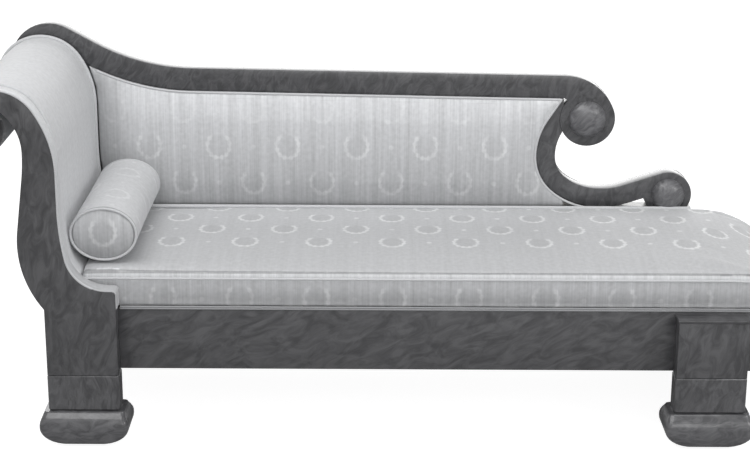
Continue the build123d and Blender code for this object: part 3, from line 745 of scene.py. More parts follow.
def stuffed(node, voxel, held, settings, swell, smooth=6):
    """A swollen pad made from a soft solid: remeshed, blown up as cloth and capped.

    held(point, normal) tells which points are tacked down or lie against the frame.
    """
    source = frame["nodes"][node]
    mesh = source.data.copy()
    tidy(mesh)
    holder = bpy.data.objects.new(node + "_stuffing", mesh)
    bpy.context.scene.collection.objects.link(holder)
    remesh = holder.modifiers.new("Cells", "REMESH")
    remesh.mode = "VOXEL"
    remesh.voxel_size = voxel
    rounding = holder.modifiers.new("Round", "SMOOTH")
    rounding.factor = 0.5
    rounding.iterations = smooth
    mesh = baked(holder)
    holder.data = mesh
    rest = [vertex.co.copy() for vertex in mesh.vertices]
    normals = [vertex.normal.copy() for vertex in mesh.vertices]
    fixed = [held(point, normal) for point, normal in zip(rest, normals)]
    start = [
        point if stays else point - normal * settings.draw_in
        for point, normal, stays in zip(rest, normals, fixed)
    ]
    for vertex, point in zip(mesh.vertices, start):
        vertex.co = point
    group = holder.vertex_groups.new(name="tacked")
    group.add([i for i, stays in enumerate(fixed) if stays], 1.0, "REPLACE")
    cloth = holder.modifiers.new("Cloth", "CLOTH")
    cloth.settings.quality = 5
    cloth.settings.mass = 0.4
    cloth.settings.tension_stiffness = 15
    cloth.settings.compression_stiffness = 15
    cloth.settings.shear_stiffness = 5
    cloth.settings.bending_stiffness = 0.8
    cloth.settings.use_pressure = True
    cloth.settings.uniform_pressure_force = settings.pressure
    cloth.settings.effector_weights.gravity = 0
    cloth.settings.vertex_group_mass = group.name
    cloth.collision_settings.use_collision = False
    cloth.point_cache.frame_start = 1
    cloth.point_cache.frame_end = 20
    for moment in range(1, 21):
        bpy.context.scene.frame_set(moment)
    blown = baked(holder)
    bpy.context.scene.frame_set(1)
    for vertex, first, last in zip(mesh.vertices, start, blown.vertices):
        step = last.co - first
        if step.length > swell:
            step *= swell / step.length
        vertex.co = first + step
    bpy.data.meshes.remove(blown)
    even = holder.modifiers.new("Even", "SMOOTH")
    even.factor = 0.5
    even.iterations = 3
    finer = holder.modifiers.new("Finer", "SUBSURF")
    finer.levels = 1
    finer.render_levels = 1
    result = baked(holder)
    bpy.data.objects.remove(holder)
    shade(result, 180)
    return result


def ramp(value, low, high, first=0.0, last=1.0):
    """A smooth step from first to last while value goes from low to high."""
    share = min(1.0, max(0.0, (value - low) / (high - low)))
    return first + (last - first) * share * share * (3 - 2 * share)


def lay_cloth(mesh, chart):
    """Gives a mesh its cloth map in metres, and what changes over the cloth.

    chart(point, normal) returns across, along, the figure's strength, the cloth's tone, which
    is painted light and shade, and the distance to a sewn seam, along which shade is painted.
    """
    layer = mesh.uv_layers.new(name="cloth")
    kinds = ("figure", "tone", "seam")
    values = {kind: [0.0] * len(mesh.vertices) for kind in kinds}
    for polygon in mesh.polygons:
        normal = polygon.normal
        for loop in polygon.loop_indices:
            index = mesh.loops[loop].vertex_index
            across, along, *rest = chart(mesh.vertices[index].co, normal)
            layer.uv[loop].vector = (across, along)
            for kind, value in zip(kinds, rest):
                values[kind][index] = value
    for kind in kinds:
        mesh.attributes.new(kind, "FLOAT", "POINT").data.foreach_set("value", values[kind])


# ------------------------------------------------------------- geometry nodes
def piping_tree():
    """A cord round every edge chain of a mesh, for welts, gimp and rings."""
    tree = bpy.data.node_groups.new("piping", "GeometryNodeTree")
    for name, kind in (("Path", "NodeSocketGeometry"), ("Radius", "NodeSocketFloat"), ("Cloth", "NodeSocketMaterial")):
        tree.interface.new_socket(name=name, in_out="INPUT", socket_type=kind)
    tree.interface.new_socket(name="Piping", in_out="OUTPUT", socket_type="NodeSocketGeometry")
    source = add(tree, "NodeGroupInput")
    line = add(tree, "GeometryNodeMeshToCurve", {0: source.outputs["Path"]})
    ring = add(
        tree, "GeometryNodeCurvePrimitiveCircle", {"Resolution": 12, "Radius": source.outputs["Radius"]}
    )
    tube = add(
        tree,
        "GeometryNodeCurveToMesh",
        {"Curve": line.outputs[0], "Profile Curve": ring.outputs[0], "Fill Caps": True},
    )
    smooth = add(tree, "GeometryNodeSetShadeSmooth", {0: tube.outputs[0]})
    real = add(tree, "GeometryNodeRealizeInstances", {0: smooth.outputs[0]})
    painted = add(
        tree,
        "GeometryNodeSetMaterial",
        {"Geometry": real.outputs[0], "Material": source.outputs["Cloth"]},
    )
    add(tree, "NodeGroupOutput", {0: painted.outputs[0]})
    return tree


def socket_id(tree, name):
    return next(s.identifier for s in tree.interface.items_tree if s.name == name and s.in_out == "INPUT")


def path_mesh(name, paths):
    """A mesh of edge chains; a path is (points, closed)."""
    mesh = bpy.data.meshes.new(name)
    points, edges = [], []
    for chain, closed in paths:
        first = len(points)
        points += [tuple(p) for p in chain]
        edges += [(first + i, first + i + 1) for i in range(len(chain) - 1)]
        if closed:
            edges.append((first + len(chain) - 1, first))
    mesh.from_pydata(points, edges, [])
    return mesh


def piped(name, paths, radius, body, material):
    """Corded welts along paths, as one piece."""
    tree = bpy.data.node_groups.get("piping") or piping_tree()
    holder = bpy.data.objects.new(name + "_path", path_mesh(name, paths))
    bpy.context.scene.collection.objects.link(holder)
    modifier = holder.modifiers.new("Piping", "NODES")
    modifier.node_group = tree
    modifier[socket_id(tree, "Radius")] = radius
    modifier[socket_id(tree, "Cloth")] = material
    mesh = baked(holder)
    bpy.data.objects.remove(holder)
    tidy(mesh)
    shade(mesh, 60)
    return piece(name, mesh, body, "silk", material)


# ------------------------------------------------------------------ operators
# node: veneer, how its grain lies, how long its plumes are, how much paler it is painted as painted light
WOOD_RUNS = {
    "arm_facing_front": ("mahogany_facing", 80.0, 1.2, 1.0),
    "arm_facing_rear": ("mahogany_facing", 80.0, 1.2, 1.0),
    "crest_rail": ("mahogany_crest", 62.0, 0.8, 1.0),
    "c_scroll": ("mahogany_scroll", 70.0, 1.0, 1.12),
    "front_seat_rail": ("mahogany_rail", 24.0, 1.4, 1.0),
    "foot_end_rail": ("mahogany_rail", 24.0, 1.4, 1.0),
    "head_end_rail": ("mahogany_rail", 24.0, 1.4, 1.0),
    "rear_seat_rail": ("mahogany_rail", 24.0, 1.4, 1.0),
    "foot_block_front":("mahogany_facing", 80.0, 1.2, 1.0),
    "foot_block_rear": ("mahogany_facing", 80.0, 1.2, 1.0),
    "foot_block_cap": ("mahogany_rail", 24.0, 1.4, 1.0),
    "back_bottom_rail": ("mahogany_rail", 24.0, 1.4, 1.0),
}
LEGS = ("head_front", "head_rear", "foot_front", "foot_rear")
BOSSES = ("crest_scroll_boss", "lower_scroll_boss", "arm_scroll_boss")
BEVELLED = (
    "arm_facing_front",
    "arm_facing_rear",
    "crest_rail",
    "c_scroll",
    "front_seat_rail",
    "foot_end_rail",
    "foot_block_front",
    "foot_block_rear",
)


class RECAMIER_OT_woodwork(bpy.types.Operator):
    """Veneered boards and blocks, the bevelled ones with softened edges"""

    bl_idname = "recamier.woodwork"
    bl_label = "Woodwork"

    def execute(self, context):
        settings = context.scene.recamier_wood
        veneers = {}
        for node, (name, turn, reach, painted_light) in WOOD_RUNS.items():
            if name not in veneers:
                veneers[name] = flame_mahogany(name, settings, turn, reach, painted_light)
            if node in BEVELLED:
                mesh = frame["nodes"][node].data.copy()
                tidy(mesh, settings.ease)
                shade(mesh, 35)
                piece(node + "_veneered", mesh, COUCH, "mahogany", veneers[name], [node])
            else:
                dress(node, veneers[name])
        return {"FINISHED"}


class RECAMIER_OT_legs(bpy.types.Operator):
    """Lower leg blocks with chamfered edges, and the pad feet under them"""

    bl_idname = "recamier.legs"
    bl_label = "Legs"

    def execute(self, context):
        settings = context.scene.recamier_wood
        # painted light: the blocks' and feet's veneer is painted paler, standing in for light bounced up from the
        # floor
        block_wood = flame_mahogany("mahogany_block", settings, 85.0, 1.0, 1.12)
        foot_wood = flame_mahogany("mahogany_foot", settings, 4.0, 0.8, 1.4)
        pads = bmesh.new()
        for leg in LEGS:
            node = "leg_block_" + leg
            low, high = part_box(node)
            mesh = chamfered_block(low, high, settings.block_chamfer)
            piece(node + "_veneered", mesh, COUCH, "mahogany", block_wood, [node])
            node = "pad_foot_" + leg
            low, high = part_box(node)
            foot = bmesh.new()
            turned_pad(foot, low, high, FOOT_PROFILE)
            piece(node + "_carved", finished(foot), COUCH, "mahogany", foot_wood, [node])
            # the wear pad under it, which ends the foot's curve
            middle = (low + high) / 2
            reach = Vector(((high.x - low.x) * FOOT_BASE / 2, 35 * MM, 0))
            under = Vector((middle.x, middle.y, low.z))
            turned_pad(pads, under - reach - Vector((0, 0, 5 * MM)), under + reach, PAD_PROFILE)
        piece("wear_pads", finished(pads), COUCH, "mahogany", foot_wood, ["foot_wear_pads"])
        return {"FINISHED"}


def chamfered_block(low, high, chamfer):
    """A square block with all its edges chamfered."""
    work = bmesh.new()
    bmesh.ops.create_cube(work, size=1.0)
    for vertex in work.verts:
        vertex.co = Vector(
            ((low[i] + high[i]) / 2 + vertex.co[i] * (high[i] - low[i]) for i in range(3))
        )
    bmesh.ops.bevel(
        work,
        geom=work.edges[:],
        offset=chamfer,
        offset_type="OFFSET",
        segments=3,
        profile=0.35,
        affect="EDGES",
    )
    return finished(work)


FOOT_BASE = 0.34
# height as a share of the whole, then both widths as shares of the full ones
FOOT_PROFILE = [
    (
        0.55 * (1 - math.cos(math.radians(10 * number))),
        FOOT_BASE + (1 - FOOT_BASE) * math.sin(math.radians(10 * number)),
        0.60 + 0.40 * math.sin(math.radians(10 * number)) ** 0.7,
    )
    for number in range(10)
] + [
    (0.64, 0.998, 0.995),
    (0.72, 0.985, 0.965),
    (0.79, 0.965, 0.915),
    (0.84, 0.95, 0.865),
    (0.87, 0.94, 0.83),
    (0.97, 0.905, 0.66),
    (1.0, 0.90, 0.64),
]
PAD_PROFILE = [(0.0, 0.60, 0.60), (0.45, 0.86, 0.86), (1.0, 1.0, 1.0)]


def finished(work):
    """The mesh of a closed bmesh, with soft shading on its curved faces."""
    bmesh.ops.recalc_face_normals(work, faces=work.faces)
    mesh = bpy.data.meshes.new("carved")
    work.to_mesh(mesh)
    work.free()
    shade(mesh, 25)
    return mesh


def turned_pad(work, low, high, profile):
    """Adds a stack of rounded rectangles within a box, joined into one closed solid."""
    half_x, half_y = (high.x - low.x) / 2, (high.y - low.y) / 2
    tall = high.z - low.z
    rings = []
    for height, wide, deep in profile:
        x, y = wide * half_x, deep * half_y
        corner = min(14 * MM, 0.3 * y)
        ring = []
        for turn in range(4):
            for step in range(6):
                angle = math.radians(90 * turn + 18 * step)
                away = (corner * math.cos(angle), corner * math.sin(angle))
                side = ((x - corner) * (1, -1, -1, 1)[turn], (y - corner) * (1, 1, -1, -1)[turn])
                ring.append(
                    work.verts.new(
                        (
                            (low.x + high.x) / 2 + side[0] + away[0],
                            (low.y + high.y) / 2 + side[1] + away[1],
                            low.z + height * tall,
                        )
                    )
                )
        rings.append(ring)
    for lower, upper in zip(rings, rings[1:]):
        for one, two in zip(range(24), list(range(1, 24)) + [0]):
            work.faces.new((lower[one], lower[two], upper[two], upper[one]))
    work.faces.new(reversed(rings[0]))
    work.faces.new(rings[-1])


class RECAMIER_OT_bosses(bpy.types.Operator):
    """Turned bosses in the eyes of the scrolls, domed right out to their edges"""

    bl_idname = "recamier.bosses"
    bl_label = "Bosses"

    def execute(self, context):
        settings = context.scene.recamier_wood
        # painted light: the bosses' veneer is painted much paler, standing in for the soft highlights on the domes
        wood = flame_mahogany("mahogany_boss", settings, 40.0, 0.6, 1.8, coat_rough=0.3)
        for node in BOSSES:
            low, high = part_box(node)
            board = high.y - 18 * MM
            centre = Vector(((low.x + high.x) / 2, board, (low.z + high.z) / 2))
            radius = (high.x - low.x) / 2
            mesh = dome(radius, board - low.y, 18 * MM, 9 * MM)
            mesh.transform(Matrix.Translation(centre) @ Matrix.Rotation(math.radians(90), 4, "X"))
            shade(mesh, 50)
            piece(node + "_turned", mesh, COUCH, "mahogany", wood, [node])
        return {"FINISHED"}


def dome(radius, height, spigot_length, spigot_radius):
    """A closed turned dome on +Z with a spigot under it."""
    profile = [(0, -spigot_length), (spigot_radius, -spigot_length), (spigot_radius, 0)]
    for number in range(15):
        angle = math.radians(90 * number / 14)
        profile.append((radius * math.cos(angle) ** 0.85, height * math.sin(angle)))
    work = bmesh.new()
    points = [work.verts.new((x, 0, z)) for x, z in profile]
    chain = [work.edges.new(pair) for pair in zip(points, points[1:])]
    bmesh.ops.spin(
        work,
        geom=points + chain,
        cent=(0, 0, 0),
        axis=(0, 0, 1),
        angle=math.tau,
        steps=64,
        use_merge=True,
    )
    bmesh.ops.remove_doubles(work, verts=work.verts, dist=0.01 * MM)
    bmesh.ops.recalc_face_normals(work, faces=work.faces)
    mesh = bpy.data.meshes.new("dome")
    work.to_mesh(mesh)
    work.free()
    return mesh


def dress(node, material):
    """Puts a material on a CAD node."""
    slots = frame["nodes"][node].material_slots
    if slots:
        for one in slots:
            one.material = material
    else:
        frame["nodes"][node].data.materials.append(material)


class RECAMIER_OT_inner_frame(bpy.types.Operator):
    """Finishes of the hidden frame, webs and glides"""

    bl_idname = "recamier.inner_frame"
    bl_label = "Inner frame"

    def execute(self, context):
        beech = sawn_beech(context.scene.recamier_wood.inside)
        jute = plain_weave("jute_webbing", "B4B2AF", 2.4 * MM, 0.85)
        iron = forged_iron()
        by_slot = {"frame_wood": beech, "webbing": jute, "iron": iron}
        for row in frame["record"]["subparts"]:
            if row["material_slot"] in by_slot and row["node"] not in WOOD_RUNS:
                dress(row["node"], by_slot[row["material_slot"]])
        return {"FINISHED"}


class RECAMIER_OT_seat(bpy.types.Operator):
    """Seat upholstery, full over its length and rolled down at the foot"""

    bl_idname = "recamier.seat"
    bl_label = "Seat"

    def execute(self, context):
        pads = context.scene.recamier_pads
        low, high = SEAT_LOW, SEAT_HIGH

        def held(point, normal):
            under = point.z < low.z + 9 * MM
            end = point.x < low.x + 6 * MM or point.y > high.y - 5 * MM
            return under or end

        mesh = stuffed("seat_pad", 9 * MM, held, pads, 6 * MM, smooth=2)

        # painted shade: the silk is darkened along this crease under the rounded front edge
        crease = high.z - 14.5 * MM

        def chart(point, normal):
            across = point.x - 20.5 * MM
            seam = 1.0
            if point.y < low.y + 20 * MM:
                seam = max(0.0, abs(point.z - crease) - 1.5 * MM)
            if normal.y < -0.7:
                # painted shade: the front band darkens towards the rail, with painted light on its lowest 16 mm, where
                # the pad rounds under
                tone = ramp(point.z, low.z, crease, 0.53, 0.99)
                tone *= ramp(point.z, low.z + 4 * MM, low.z + 16 * MM, 1.3, 1.0)
                return across, point.z - 365 * MM, 0.6, tone, seam
            figure = ramp(point.y, -122 * MM, -104 * MM)
            # painted light and shade on the top: lighter on the front 40 mm, darker over the front half, lighter
            # towards the back, and much lighter on the rear 20 mm against the shade beside the back
            tone = ramp(point.y, low.y, low.y + 40 * MM, 0.87, 0.78)
            tone *= ramp(point.y, 0.0, 200 * MM, 0.96, 1.08)
            tone *= ramp(point.y, high.y - 20 * MM, high.y - 6 * MM, 1.0, 1.4)
            return across, point.y + 68 * MM, figure, tone, seam

        lay_cloth(mesh, chart)
        silk = bpy.data.materials["silk_damask"]
        seat = piece("seat_upholstery", mesh, COUCH, "silk", silk, ["seat_pad"])
        return {"FINISHED"}


class RECAMIER_OT_arm(bpy.types.Operator):
    """Upholstery over the roll of the arm and down to the seat"""

    bl_idname = "recamier.arm"
    bl_label = "Arm"

    def execute(self, context):
        pads = context.scene.recamier_pads
        low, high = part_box("arm_pad")
        edge = inner_edge(ROLL_RADIUS, NECK_RADIUS, 90 - HOLLOW_TURN)
        line = [Vector((x, 0, z)) for x, z in inner_edge(118 * MM, 226 * MM, 36.0)]
        lengths = [0.0]
        for one, two in zip(line, line[1:]):
            lengths.append(lengths[-1] + (two - one).length)
        tree = BVHTree.FromPolygons(
            [p + Vector((0, y, 0)) for p in (Vector((x, 0, z)) for x, z in edge) for y in (-1, 1)],
            [(2 * i, 2 * i + 1, 2 * i + 3, 2 * i + 2) for i in range(len(edge) - 1)],
        )

        def held(point, normal):
            near_edge = tree.find_nearest(point)
            inside = (point - near_edge[0]).length < 4 * MM
            centre = Vector((ROLL_X, point.y, ROLL_Z))
            hidden = normal.dot(point - centre) < 0 and point.z > ROLL_Z
            ends = point.y < low.y + 5 * MM or point.y > high.y - 5 * MM
            return inside or hidden or ends or point.z < low.z + 8 * MM

        mesh = stuffed("arm_pad", 6 * MM, held, pads, 5 * MM)
        finder = KDTree(len(line))
        for index, point in enumerate(line):
            finder.insert(point, index)
        finder.balance()

        def chart(point, normal):
            _, index, _ = finder.find(Vector((point.x, 0, point.z)))
            other = min(index + 1, len(line) - 1)
            along = (line[other] - line[index]).normalized()
            reach = along.dot(Vector((point.x, 0, point.z)) - line[index]) if other > index else 0
            # painted shade: the silk is painted darker over the roll and neck, and lighter down the straight of the
            # arm
            tone = ramp(lengths[index], 0.30, 0.60, 0.89, 1.07)
            return point.y, lengths[index] + reach, 0.0, tone, 1.0

        lay_cloth(mesh, chart)
        silk = bpy.data.materials["silk_damask"]
        arm = piece("arm_upholstery", mesh, COUCH, "silk", silk, ["arm_pad"])
        return {"FINISHED"}


class RECAMIER_OT_lining(bpy.types.Operator):
    """Silk carried forward over the inner edge of the front facing, down to the rail"""

    bl_idname = "recamier.lining"
    bl_label = "Lining"

    def execute(self, context):
        shift = 1.7 * MM
        line = inner_edge(ROLL_RADIUS, NECK_RADIUS, 90 - HOLLOW_TURN, shift)
        corner = BLOCK_RIGHT - SHOULDER_ROUND
        over = [
            (None, corner - line[-1][0]),
            (SHOULDER_ROUND, -90),
            (None, SHOULDER_Z - SHOULDER_ROUND - RAIL_TOP - 15 * MM),
        ]
        start = (line[-1][0], SHOULDER_Z)
        line += tangent_points(start, 0, over, shift, spacing=3 * MM)[1:]
        near, far = FACING_LOW.y + 1 * MM, FRONT_RAIL_FACE - 0.5 * MM
        mesh = bpy.data.meshes.new("lining")
        points = [(x, y, z) for x, z in line for y in (near, (near + far) / 2, far)]
        faces = []
        for row in range(len(line) - 1):
            for one in (3 * row, 3 * row + 1):
                faces.append((one, one + 1, one + 4, one + 3))
        mesh.from_pydata(points, [], faces)
        holder = bpy.data.objects.new("lining_strip", mesh)
        context.scene.collection.objects.link(holder)
        thickness = holder.modifiers.new("Thickness", "SOLIDIFY")
        thickness.thickness = 3 * MM
        thickness.offset = 0
        rounding = holder.modifiers.new("Rounding", "BEVEL")
        rounding.width = 1.2 * MM
        rounding.segments = 2
        mesh = baked(holder)
        bpy.data.objects.remove(holder)
        tidy(mesh)
        shade(mesh, 60)
        lengths = [0.0]
        for one, two in zip(line, line[1:]):
            lengths.append(lengths[-1] + math.dist(one, two))
        finder = KDTree(len(line))
        for index, (x, z) in enumerate(line):
            finder.insert((x, 0, z), index)
        finder.balance()

        def chart(point, normal):
            length = lengths[finder.find((point.x, 0, point.z))[1]]
            left = lengths[-1] - length
            # painted shade: the lining is darker over its end, along the shoulder and down the block's side
            return point.y, length, 0.0, ramp(left, 0.13, 0.22, 0.72, 0.95), 1.0

        lay_cloth(mesh, chart)
        silk = bpy.data.materials["silk_damask"]
        made = piece("arm_lining", mesh, COUCH, "silk", silk)
        return {"FINISHED"}


class RECAMIER_OT_back(bpy.types.Operator):
    """Upholstered field of the back"""

    bl_idname = "recamier.back"
    bl_label = "Back"

    def execute(self, context):
        pads = context.scene.recamier_pads

        def held(point, normal):
            return point.y > BACK_LOW.y + 9 * MM

        mesh = stuffed("back_pad", 7 * MM, held, pads, 7 * MM)
        edge = [Vector((x, 0, z)) for x, z in back_edge()]
        finder = KDTree(len(edge))
        for index, point in enumerate(edge):
            finder.insert(point, index)
        finder.balance()
        foot = BACK_LOW.z + 15 * MM

        def chart(point, normal):
            figure = ramp(point.z, 640 * MM, 700 * MM, 0.55, 0.12)
            # painted shade: the silk is darker towards the seat and lighter at the top, and darker again beside the
            # arm, as the arm's painted shadow
            height = min(1.0, max(0.0, (point.z - foot) / (285 * MM)))
            tone = 0.63 + 0.44 * height
            tone *= ramp(point.x, BACK_LOW.x + 20 * MM, BACK_LOW.x + 150 * MM, 0.60, 1.0)
            # painted shade along a crease 14 mm in from the edge of the back's silk
            near = finder.find(Vector((point.x, 0, point.z)))[2]
            seam = 3 * MM + abs(near - 14 * MM)
            return point.x + 74.5 * MM, point.z - 608 * MM, figure, tone, seam

        lay_cloth(mesh, chart)
        silk = bpy.data.materials["silk_damask"]
        back = piece("back_upholstery", mesh, COUCH, "silk", silk, ["back_pad"])
        return {"FINISHED"}


class RECAMIER_OT_bolster(bpy.types.Operator):
    """The loose bolster with its corded ends"""

    bl_idname = "recamier.bolster"
    bl_label = "Bolster"

    def execute(self, context):
        pads = context.scene.recamier_pads
        low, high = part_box("bolster")
        middle = (low + high) / 2

        def held(point, normal):
            return point.z < low.z + 2 * MM

        mesh = stuffed("bolster", 5 * MM, held, pads, 5 * MM, smooth=3)
        for vertex in mesh.vertices:
            vertex.co.z = max(vertex.co.z, low.z)
        girth = math.pi * (high.x - low.x + high.z - low.z) / 2
        half_x = (high.x - low.x) / 2 - 6 * MM
        half_z = (high.z - low.z) / 2 - 6 * MM

        def chart(point, normal):
            off_axis = math.hypot(point.x - middle.x, point.z - middle.z)
            if abs(normal.y) > 0.75:
                # painted shade: the ends are darker towards the floor, with shade painted along a ring just inside the
                # welt
                seam = 1 * MM + abs(off_axis - half_x + 5 * MM)
                tone = ramp(point.z, low.z, high.z - 30 * MM, 0.54, 0.84)
                return point.x - middle.x, point.z - middle.z - 4 * MM, 0.8, tone, seam
            around = math.atan2(point.z - middle.z, point.x - middle.x) / (2 * math.pi)
            end = min(point.y - low.y, high.y - point.y)
            # painted shade along a line 12 mm in from each end, beside the welts
            return point.y - middle.y, around * girth, 0.35, 0.88, 1 * MM + abs(end - 12 * MM)

        lay_cloth(mesh, chart)
        silk = bpy.data.materials["silk_damask"]
        roll = piece("bolster_cover", mesh, BOLSTER, "silk", silk, ["bolster"])
        rings = []
        for y in (low.y + 5 * MM, high.y - 5 * MM):
            ring = []
            for number in range(96):
                angle = 2 * math.pi * number / 96
                ring.append(
                    (middle.x + half_x * math.cos(angle), y, middle.z + half_z * math.sin(angle))
                )
            rings.append((ring, True))
        piped("bolster_welts", rings, 3.2 * MM, BOLSTER, bpy.data.materials["corded_silk"])
        return {"FINISHED"}


class RECAMIER_OT_welts(bpy.types.Operator):
    """Corded welts along the seams, and the gimp over the rail"""

    bl_idname = "recamier.welts"
    bl_label = "Welts and gimp"

    def execute(self, context):
        trim = context.scene.recamier_trim
        cord = bpy.data.materials["corded_silk"]
        edge = inner_edge(ROLL_RADIUS, NECK_RADIUS, 58.0, shift=0.6 * trim.welt)
        line = [(x, FACING_LOW.y + 0.6 * trim.welt, z) for x, z in edge]
        piped("arm_welt", [(line, False)], 0.8 * trim.welt, COUCH, cord)
        # a fuller roll closes the joint between the arm's silk and the back's
        edge = inner_edge(118 * MM, 226 * MM, 40.0, shift=-1 * MM)
        line = [(x, BACK_LOW.y + 6 * MM, z) for x, z in edge]
        piped("arm_back_roll", [(line, False)], trim.roll, COUCH, cord)

        front = seat_line(-752 * MM, SEAT_EDGE_Z - 19 * MM)
        line = [(x, SEAT_LOW.y + 1.5 * MM, z) for x, z in front]
        piped("seat_welt", [(line, False)], 0.85 * trim.welt, COUCH, cord)
        rear = seat_line(SEAT_LOW.x + 30 * MM, SEAT_EDGE_Z)
        line = [(x, SEAT_HIGH.y - 1.5 * MM, z) for x, z in rear if x <= FALL_X]
        piped("seat_back_roll", [(line, False)], trim.roll, COUCH, cord)

        # the gimp is two cords side by side, and goes round the foot end
        y = FRONT_RAIL_FACE - 0.5 * MM
        cords = []
        for height in (2.0 * MM, 6.6 * MM):
            z = RAIL_TOP + height
            line = [
                (BLOCK_RIGHT + 2 * trim.gimp, y, z),
                (RAIL_HIGH.x + 0.5 * MM, y, z),
                (RAIL_HIGH.x + 0.5 * MM, REAR_RAIL_FACE + 0.5 * MM, z),
                (SCROLL_HIGH.x + 20 * MM, REAR_RAIL_FACE + 0.5 * MM, z),
            ]
            cords.append((line, False))
        piped("rail_gimp", cords, trim.gimp, COUCH, bpy.data.materials["gimp_silk"])

        line = [(x, BACK_LOW.y + 9 * MM, z) for x, z in back_edge()]
        piped("back_welt", [(line, False)], trim.welt, COUCH, cord)
        return {"FINISHED"}


def seat_line(start, height):
    """A line along the seat at a height, that follows the fall at the foot end."""
    drop = height - SEAT_LOW.z
    spare = FALL_REACH - FALL_END_RADIUS
    radius = (FALL_REACH**2 + drop**2 - 2 * FALL_REACH * FALL_END_RADIUS) / (
        2 * (drop - FALL_END_RADIUS)
    )
    turn = math.degrees(math.atan2(spare, radius - drop))
    steps = [(None, FALL_X - start), (radius, -turn), (FALL_END_RADIUS, turn - 88)]
    return tangent_points((start, height), 0, steps, spacing=12 * MM)


def back_edge():
    """Where the back's upholstery meets the crest and the C, down to the pad's foot."""
    crest = [p for p in crest_underside(-2 * MM) if p[0] > ROLL_X + 140 * MM]
    corner = (SCROLL_LOW.x + SCROLL_WIDTH, SCROLL_CORNER_Z)
    return joined(crest, scroll_edge(corner, 2 * MM), BACK_LOW.z)


def joined(crest, edge, floor):
    """The crest's line as far as the C's edge, then that edge down to a floor."""
    cut = []
    for number, (one, two) in enumerate(zip(crest, crest[1:])):
        for other, (three, four) in enumerate(zip(edge, edge[1:])):
            d1 = (two[0] - one[0], two[1] - one[1])
            d2 = (four[0] - three[0], four[1] - three[1])
            area = d1[0] * d2[1] - d1[1] * d2[0]
            if abs(area) < 1e-12:
                continue
            gap = (three[0] - one[0], three[1] - one[1])
            s = (gap[0] * d2[1] - gap[1] * d2[0]) / area
            t = (gap[0] * d1[1] - gap[1] * d1[0]) / area
            if 0 <= s <= 1 and 0 <= t <= 1:
                meet = (one[0] + s * d1[0], one[1] + s * d1[1])
                rest = [p for p in edge[other + 1 :] if p[1] > floor]
                return crest[: number + 1] + [meet] + rest
    raise RuntimeError("the crest's line doesn't reach the C")


class RECAMIER_OT_covers(bpy.types.Operator):
    """Cloth that closes the outside of the arm and of the back"""

    bl_idname = "recamier.covers"
    bl_label = "Outside covers"

    def execute(self, context):
        cloth = plain_weave("plain_silk_cover", "B9BABC", 1.6 * MM, 0.7)
        for node, name in (
            ("arm_outside_cover", "arm_outside_cloth"),
            ("back_outside_cover", "back_outside_cloth"),
        ):
            mesh = frame["nodes"][node].data.copy()
            tidy(mesh, 0.6 * MM)
            shade(mesh, 35)
            made = piece(name, mesh, COUCH, "cover_cloth", cloth, [node])
        return {"FINISHED"}


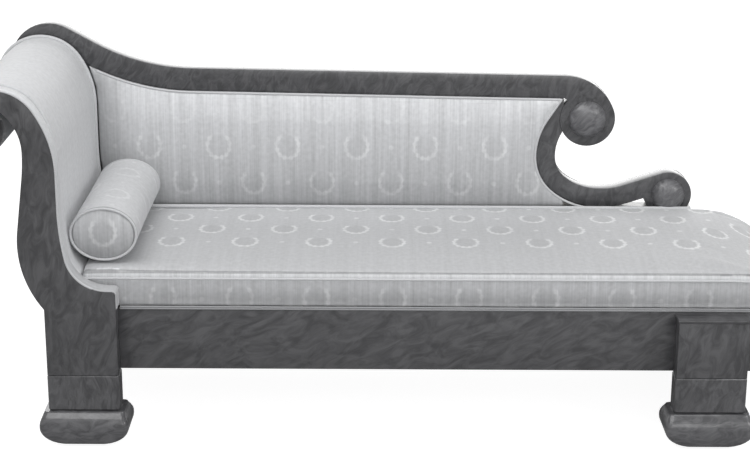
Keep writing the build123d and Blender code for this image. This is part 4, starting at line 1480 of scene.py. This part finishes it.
class RECAMIER_OT_stage(bpy.types.Operator):
    """Floor, lights and camera"""

    bl_idname = "recamier.stage"
    bl_label = "Stage"

    def execute(self, context):
        settings = context.scene.recamier_stage
        scene = context.scene
        scene.view_settings.view_transform = "Standard"
        floor_mesh = bpy.data.meshes.new("floor")
        work = bmesh.new()
        bmesh.ops.create_grid(work, x_segments=8, y_segments=8, size=9.0)
        work.to_mesh(floor_mesh)
        work.free()
        floor = bpy.data.objects.new("floor", floor_mesh)
        scene.collection.objects.link(floor)
        made, tree = blank("pale_floor")
        seen = add(tree, "ShaderNodeLightPath")
        diffuse = add(tree, "ShaderNodeBsdfDiffuse", {"Color": linear("B8B8B9")})
        glow = add(tree, "ShaderNodeMath", {0: seen.outputs["Is Camera Ray"], 1: 0.9}, operation="MULTIPLY")
        light = add(tree, "ShaderNodeEmission", {"Strength": glow.outputs[0]})
        both = add(tree, "ShaderNodeAddShader", {0: diffuse.outputs[0], 1: light.outputs[0]})
        finish_material(tree, both)
        floor_mesh.materials.append(made)

        world = bpy.data.worlds.new("even_light")
        world.use_nodes = True
        tree = world.node_tree
        tree.nodes.clear()
        seen = add(tree, "ShaderNodeLightPath")
        direct = add(
            tree,
            "ShaderNodeMath",
            {0: seen.outputs["Is Camera Ray"], 1: seen.outputs["Is Transmission Ray"]},
            operation="MAXIMUM",
        )
        even = add(
            tree,
            "ShaderNodeMapRange",
            {0: direct.outputs[0], 1: 0.0, 2: 1.0, 3: settings.sky, 4: 1.0},
        )
        # polish mirrors a bright screen that stands behind the couch
        way = add(tree, "ShaderNodeTexCoord").outputs["Generated"]
        way = add(tree, "ShaderNodeSeparateXYZ", {0: way})
        screen = add(
            tree,
            "ShaderNodeMapRange",
            {0: way.outputs[1], 1: 0.5, 2: 0.9, 3: 0.0, 4: settings.screen},
        )
        mirrored = add(
            tree,
            "ShaderNodeMath",
            {0: screen.outputs[0], 1: seen.outputs["Is Glossy Ray"]},
            operation="MULTIPLY",
        )
        screen = add(
            tree, "ShaderNodeMath", {0: mirrored.outputs[0], 1: even.outputs[0]}, operation="ADD"
        )
        sky = add(
            tree, "ShaderNodeBackground", {"Color": (1, 1, 1, 1), "Strength": screen.outputs[0]}
        )
        add(tree, "ShaderNodeOutputWorld", {"Surface": sky.outputs[0]})
        scene.world = world

        for name, place, aim, size, power in (
            ("key_lamp", (-0.9, -1.3, 3.6), (0.0, 0.0, 0.4), (3.2, 2.2), settings.key),
            ("fill_lamp", (0.6, -4.2, 2.3), (0.0, 0.0, 0.5), (2.6, 1.8), settings.fill),
            ("side_lamp", (2.6, -1.9, 2.0), (0.6, 0.2, 0.6), (1.3, 1.3), settings.side),
        ):
            lamp = bpy.data.lights.new(name, "AREA")
            lamp.shape = "RECTANGLE"
            lamp.size, lamp.size_y = size
            lamp.energy = power
            holder = bpy.data.objects.new(name, lamp)
            holder.location = place
            holder.rotation_euler = (
                (Vector(aim) - Vector(place)).to_track_quat("-Z", "Y").to_euler()
            )
            scene.collection.objects.link(holder)

        lens = bpy.data.cameras.new("camera")
        lens.lens = 77.8
        lens.sensor_width = 36.0
        lens.shift_y = -0.1
        camera = bpy.data.objects.new("camera", lens)
        camera.location = (-24.5 * MM, -3957 * MM, 1780 * MM)
        tilt = Matrix.Rotation(math.radians(90 - 15.83), 4, "X")
        roll = Matrix.Rotation(math.radians(0.28), 4, "Z")
        camera.rotation_euler = (tilt @ roll).to_euler()
        scene.collection.objects.link(camera)
        scene.camera = camera
        return {"FINISHED"}


class RECAMIER_OT_cloths(bpy.types.Operator):
    """Silks of the couch, made once for all its upholstery"""

    bl_idname = "recamier.cloths"
    bl_label = "Silks"

    def execute(self, context):
        silk_damask(context.scene.recamier_silk)
        corded_silk("corded_silk", "C4C5C7")
        corded_silk("gimp_silk", "9B9C9E")
        return {"FINISHED"}


OPERATORS = (
    RECAMIER_OT_stage,
    RECAMIER_OT_woodwork,
    RECAMIER_OT_legs,
    RECAMIER_OT_bosses,
    RECAMIER_OT_inner_frame,
    RECAMIER_OT_cloths,
    RECAMIER_OT_covers,
    RECAMIER_OT_seat,
    RECAMIER_OT_arm,
    RECAMIER_OT_lining,
    RECAMIER_OT_back,
    RECAMIER_OT_bolster,
    RECAMIER_OT_welts,
)


class RECAMIER_PT_panel(bpy.types.Panel):
    bl_idname = "RECAMIER_PT_panel"
    bl_label = "Recamier"
    bl_space_type = "VIEW_3D"
    bl_region_type = "UI"
    bl_category = "Recamier"

    def draw(self, context):
        for settings, name in SETTINGS:
            box = self.layout.box()
            group = getattr(context.scene, name)
            for field in settings.__annotations__:
                box.prop(group, field)
        for operator in OPERATORS:
            self.layout.operator(operator.bl_idname)


def register():
    for settings, name in SETTINGS:
        bpy.utils.register_class(settings)
        setattr(bpy.types.Scene, name, bpy.props.PointerProperty(type=settings))
    for made in (*OPERATORS, RECAMIER_PT_panel):
        bpy.utils.register_class(made)


def unregister():
    for made in (RECAMIER_PT_panel, *reversed(OPERATORS)):
        bpy.utils.unregister_class(made)
    for settings, name in reversed(SETTINGS):
        delattr(bpy.types.Scene, name)
        bpy.utils.unregister_class(settings)


def main():
    register()
    for operator in OPERATORS:
        group, name = operator.bl_idname.split(".")
        getattr(getattr(bpy.ops, group), name)()


if __name__ == "__main__":
    main()
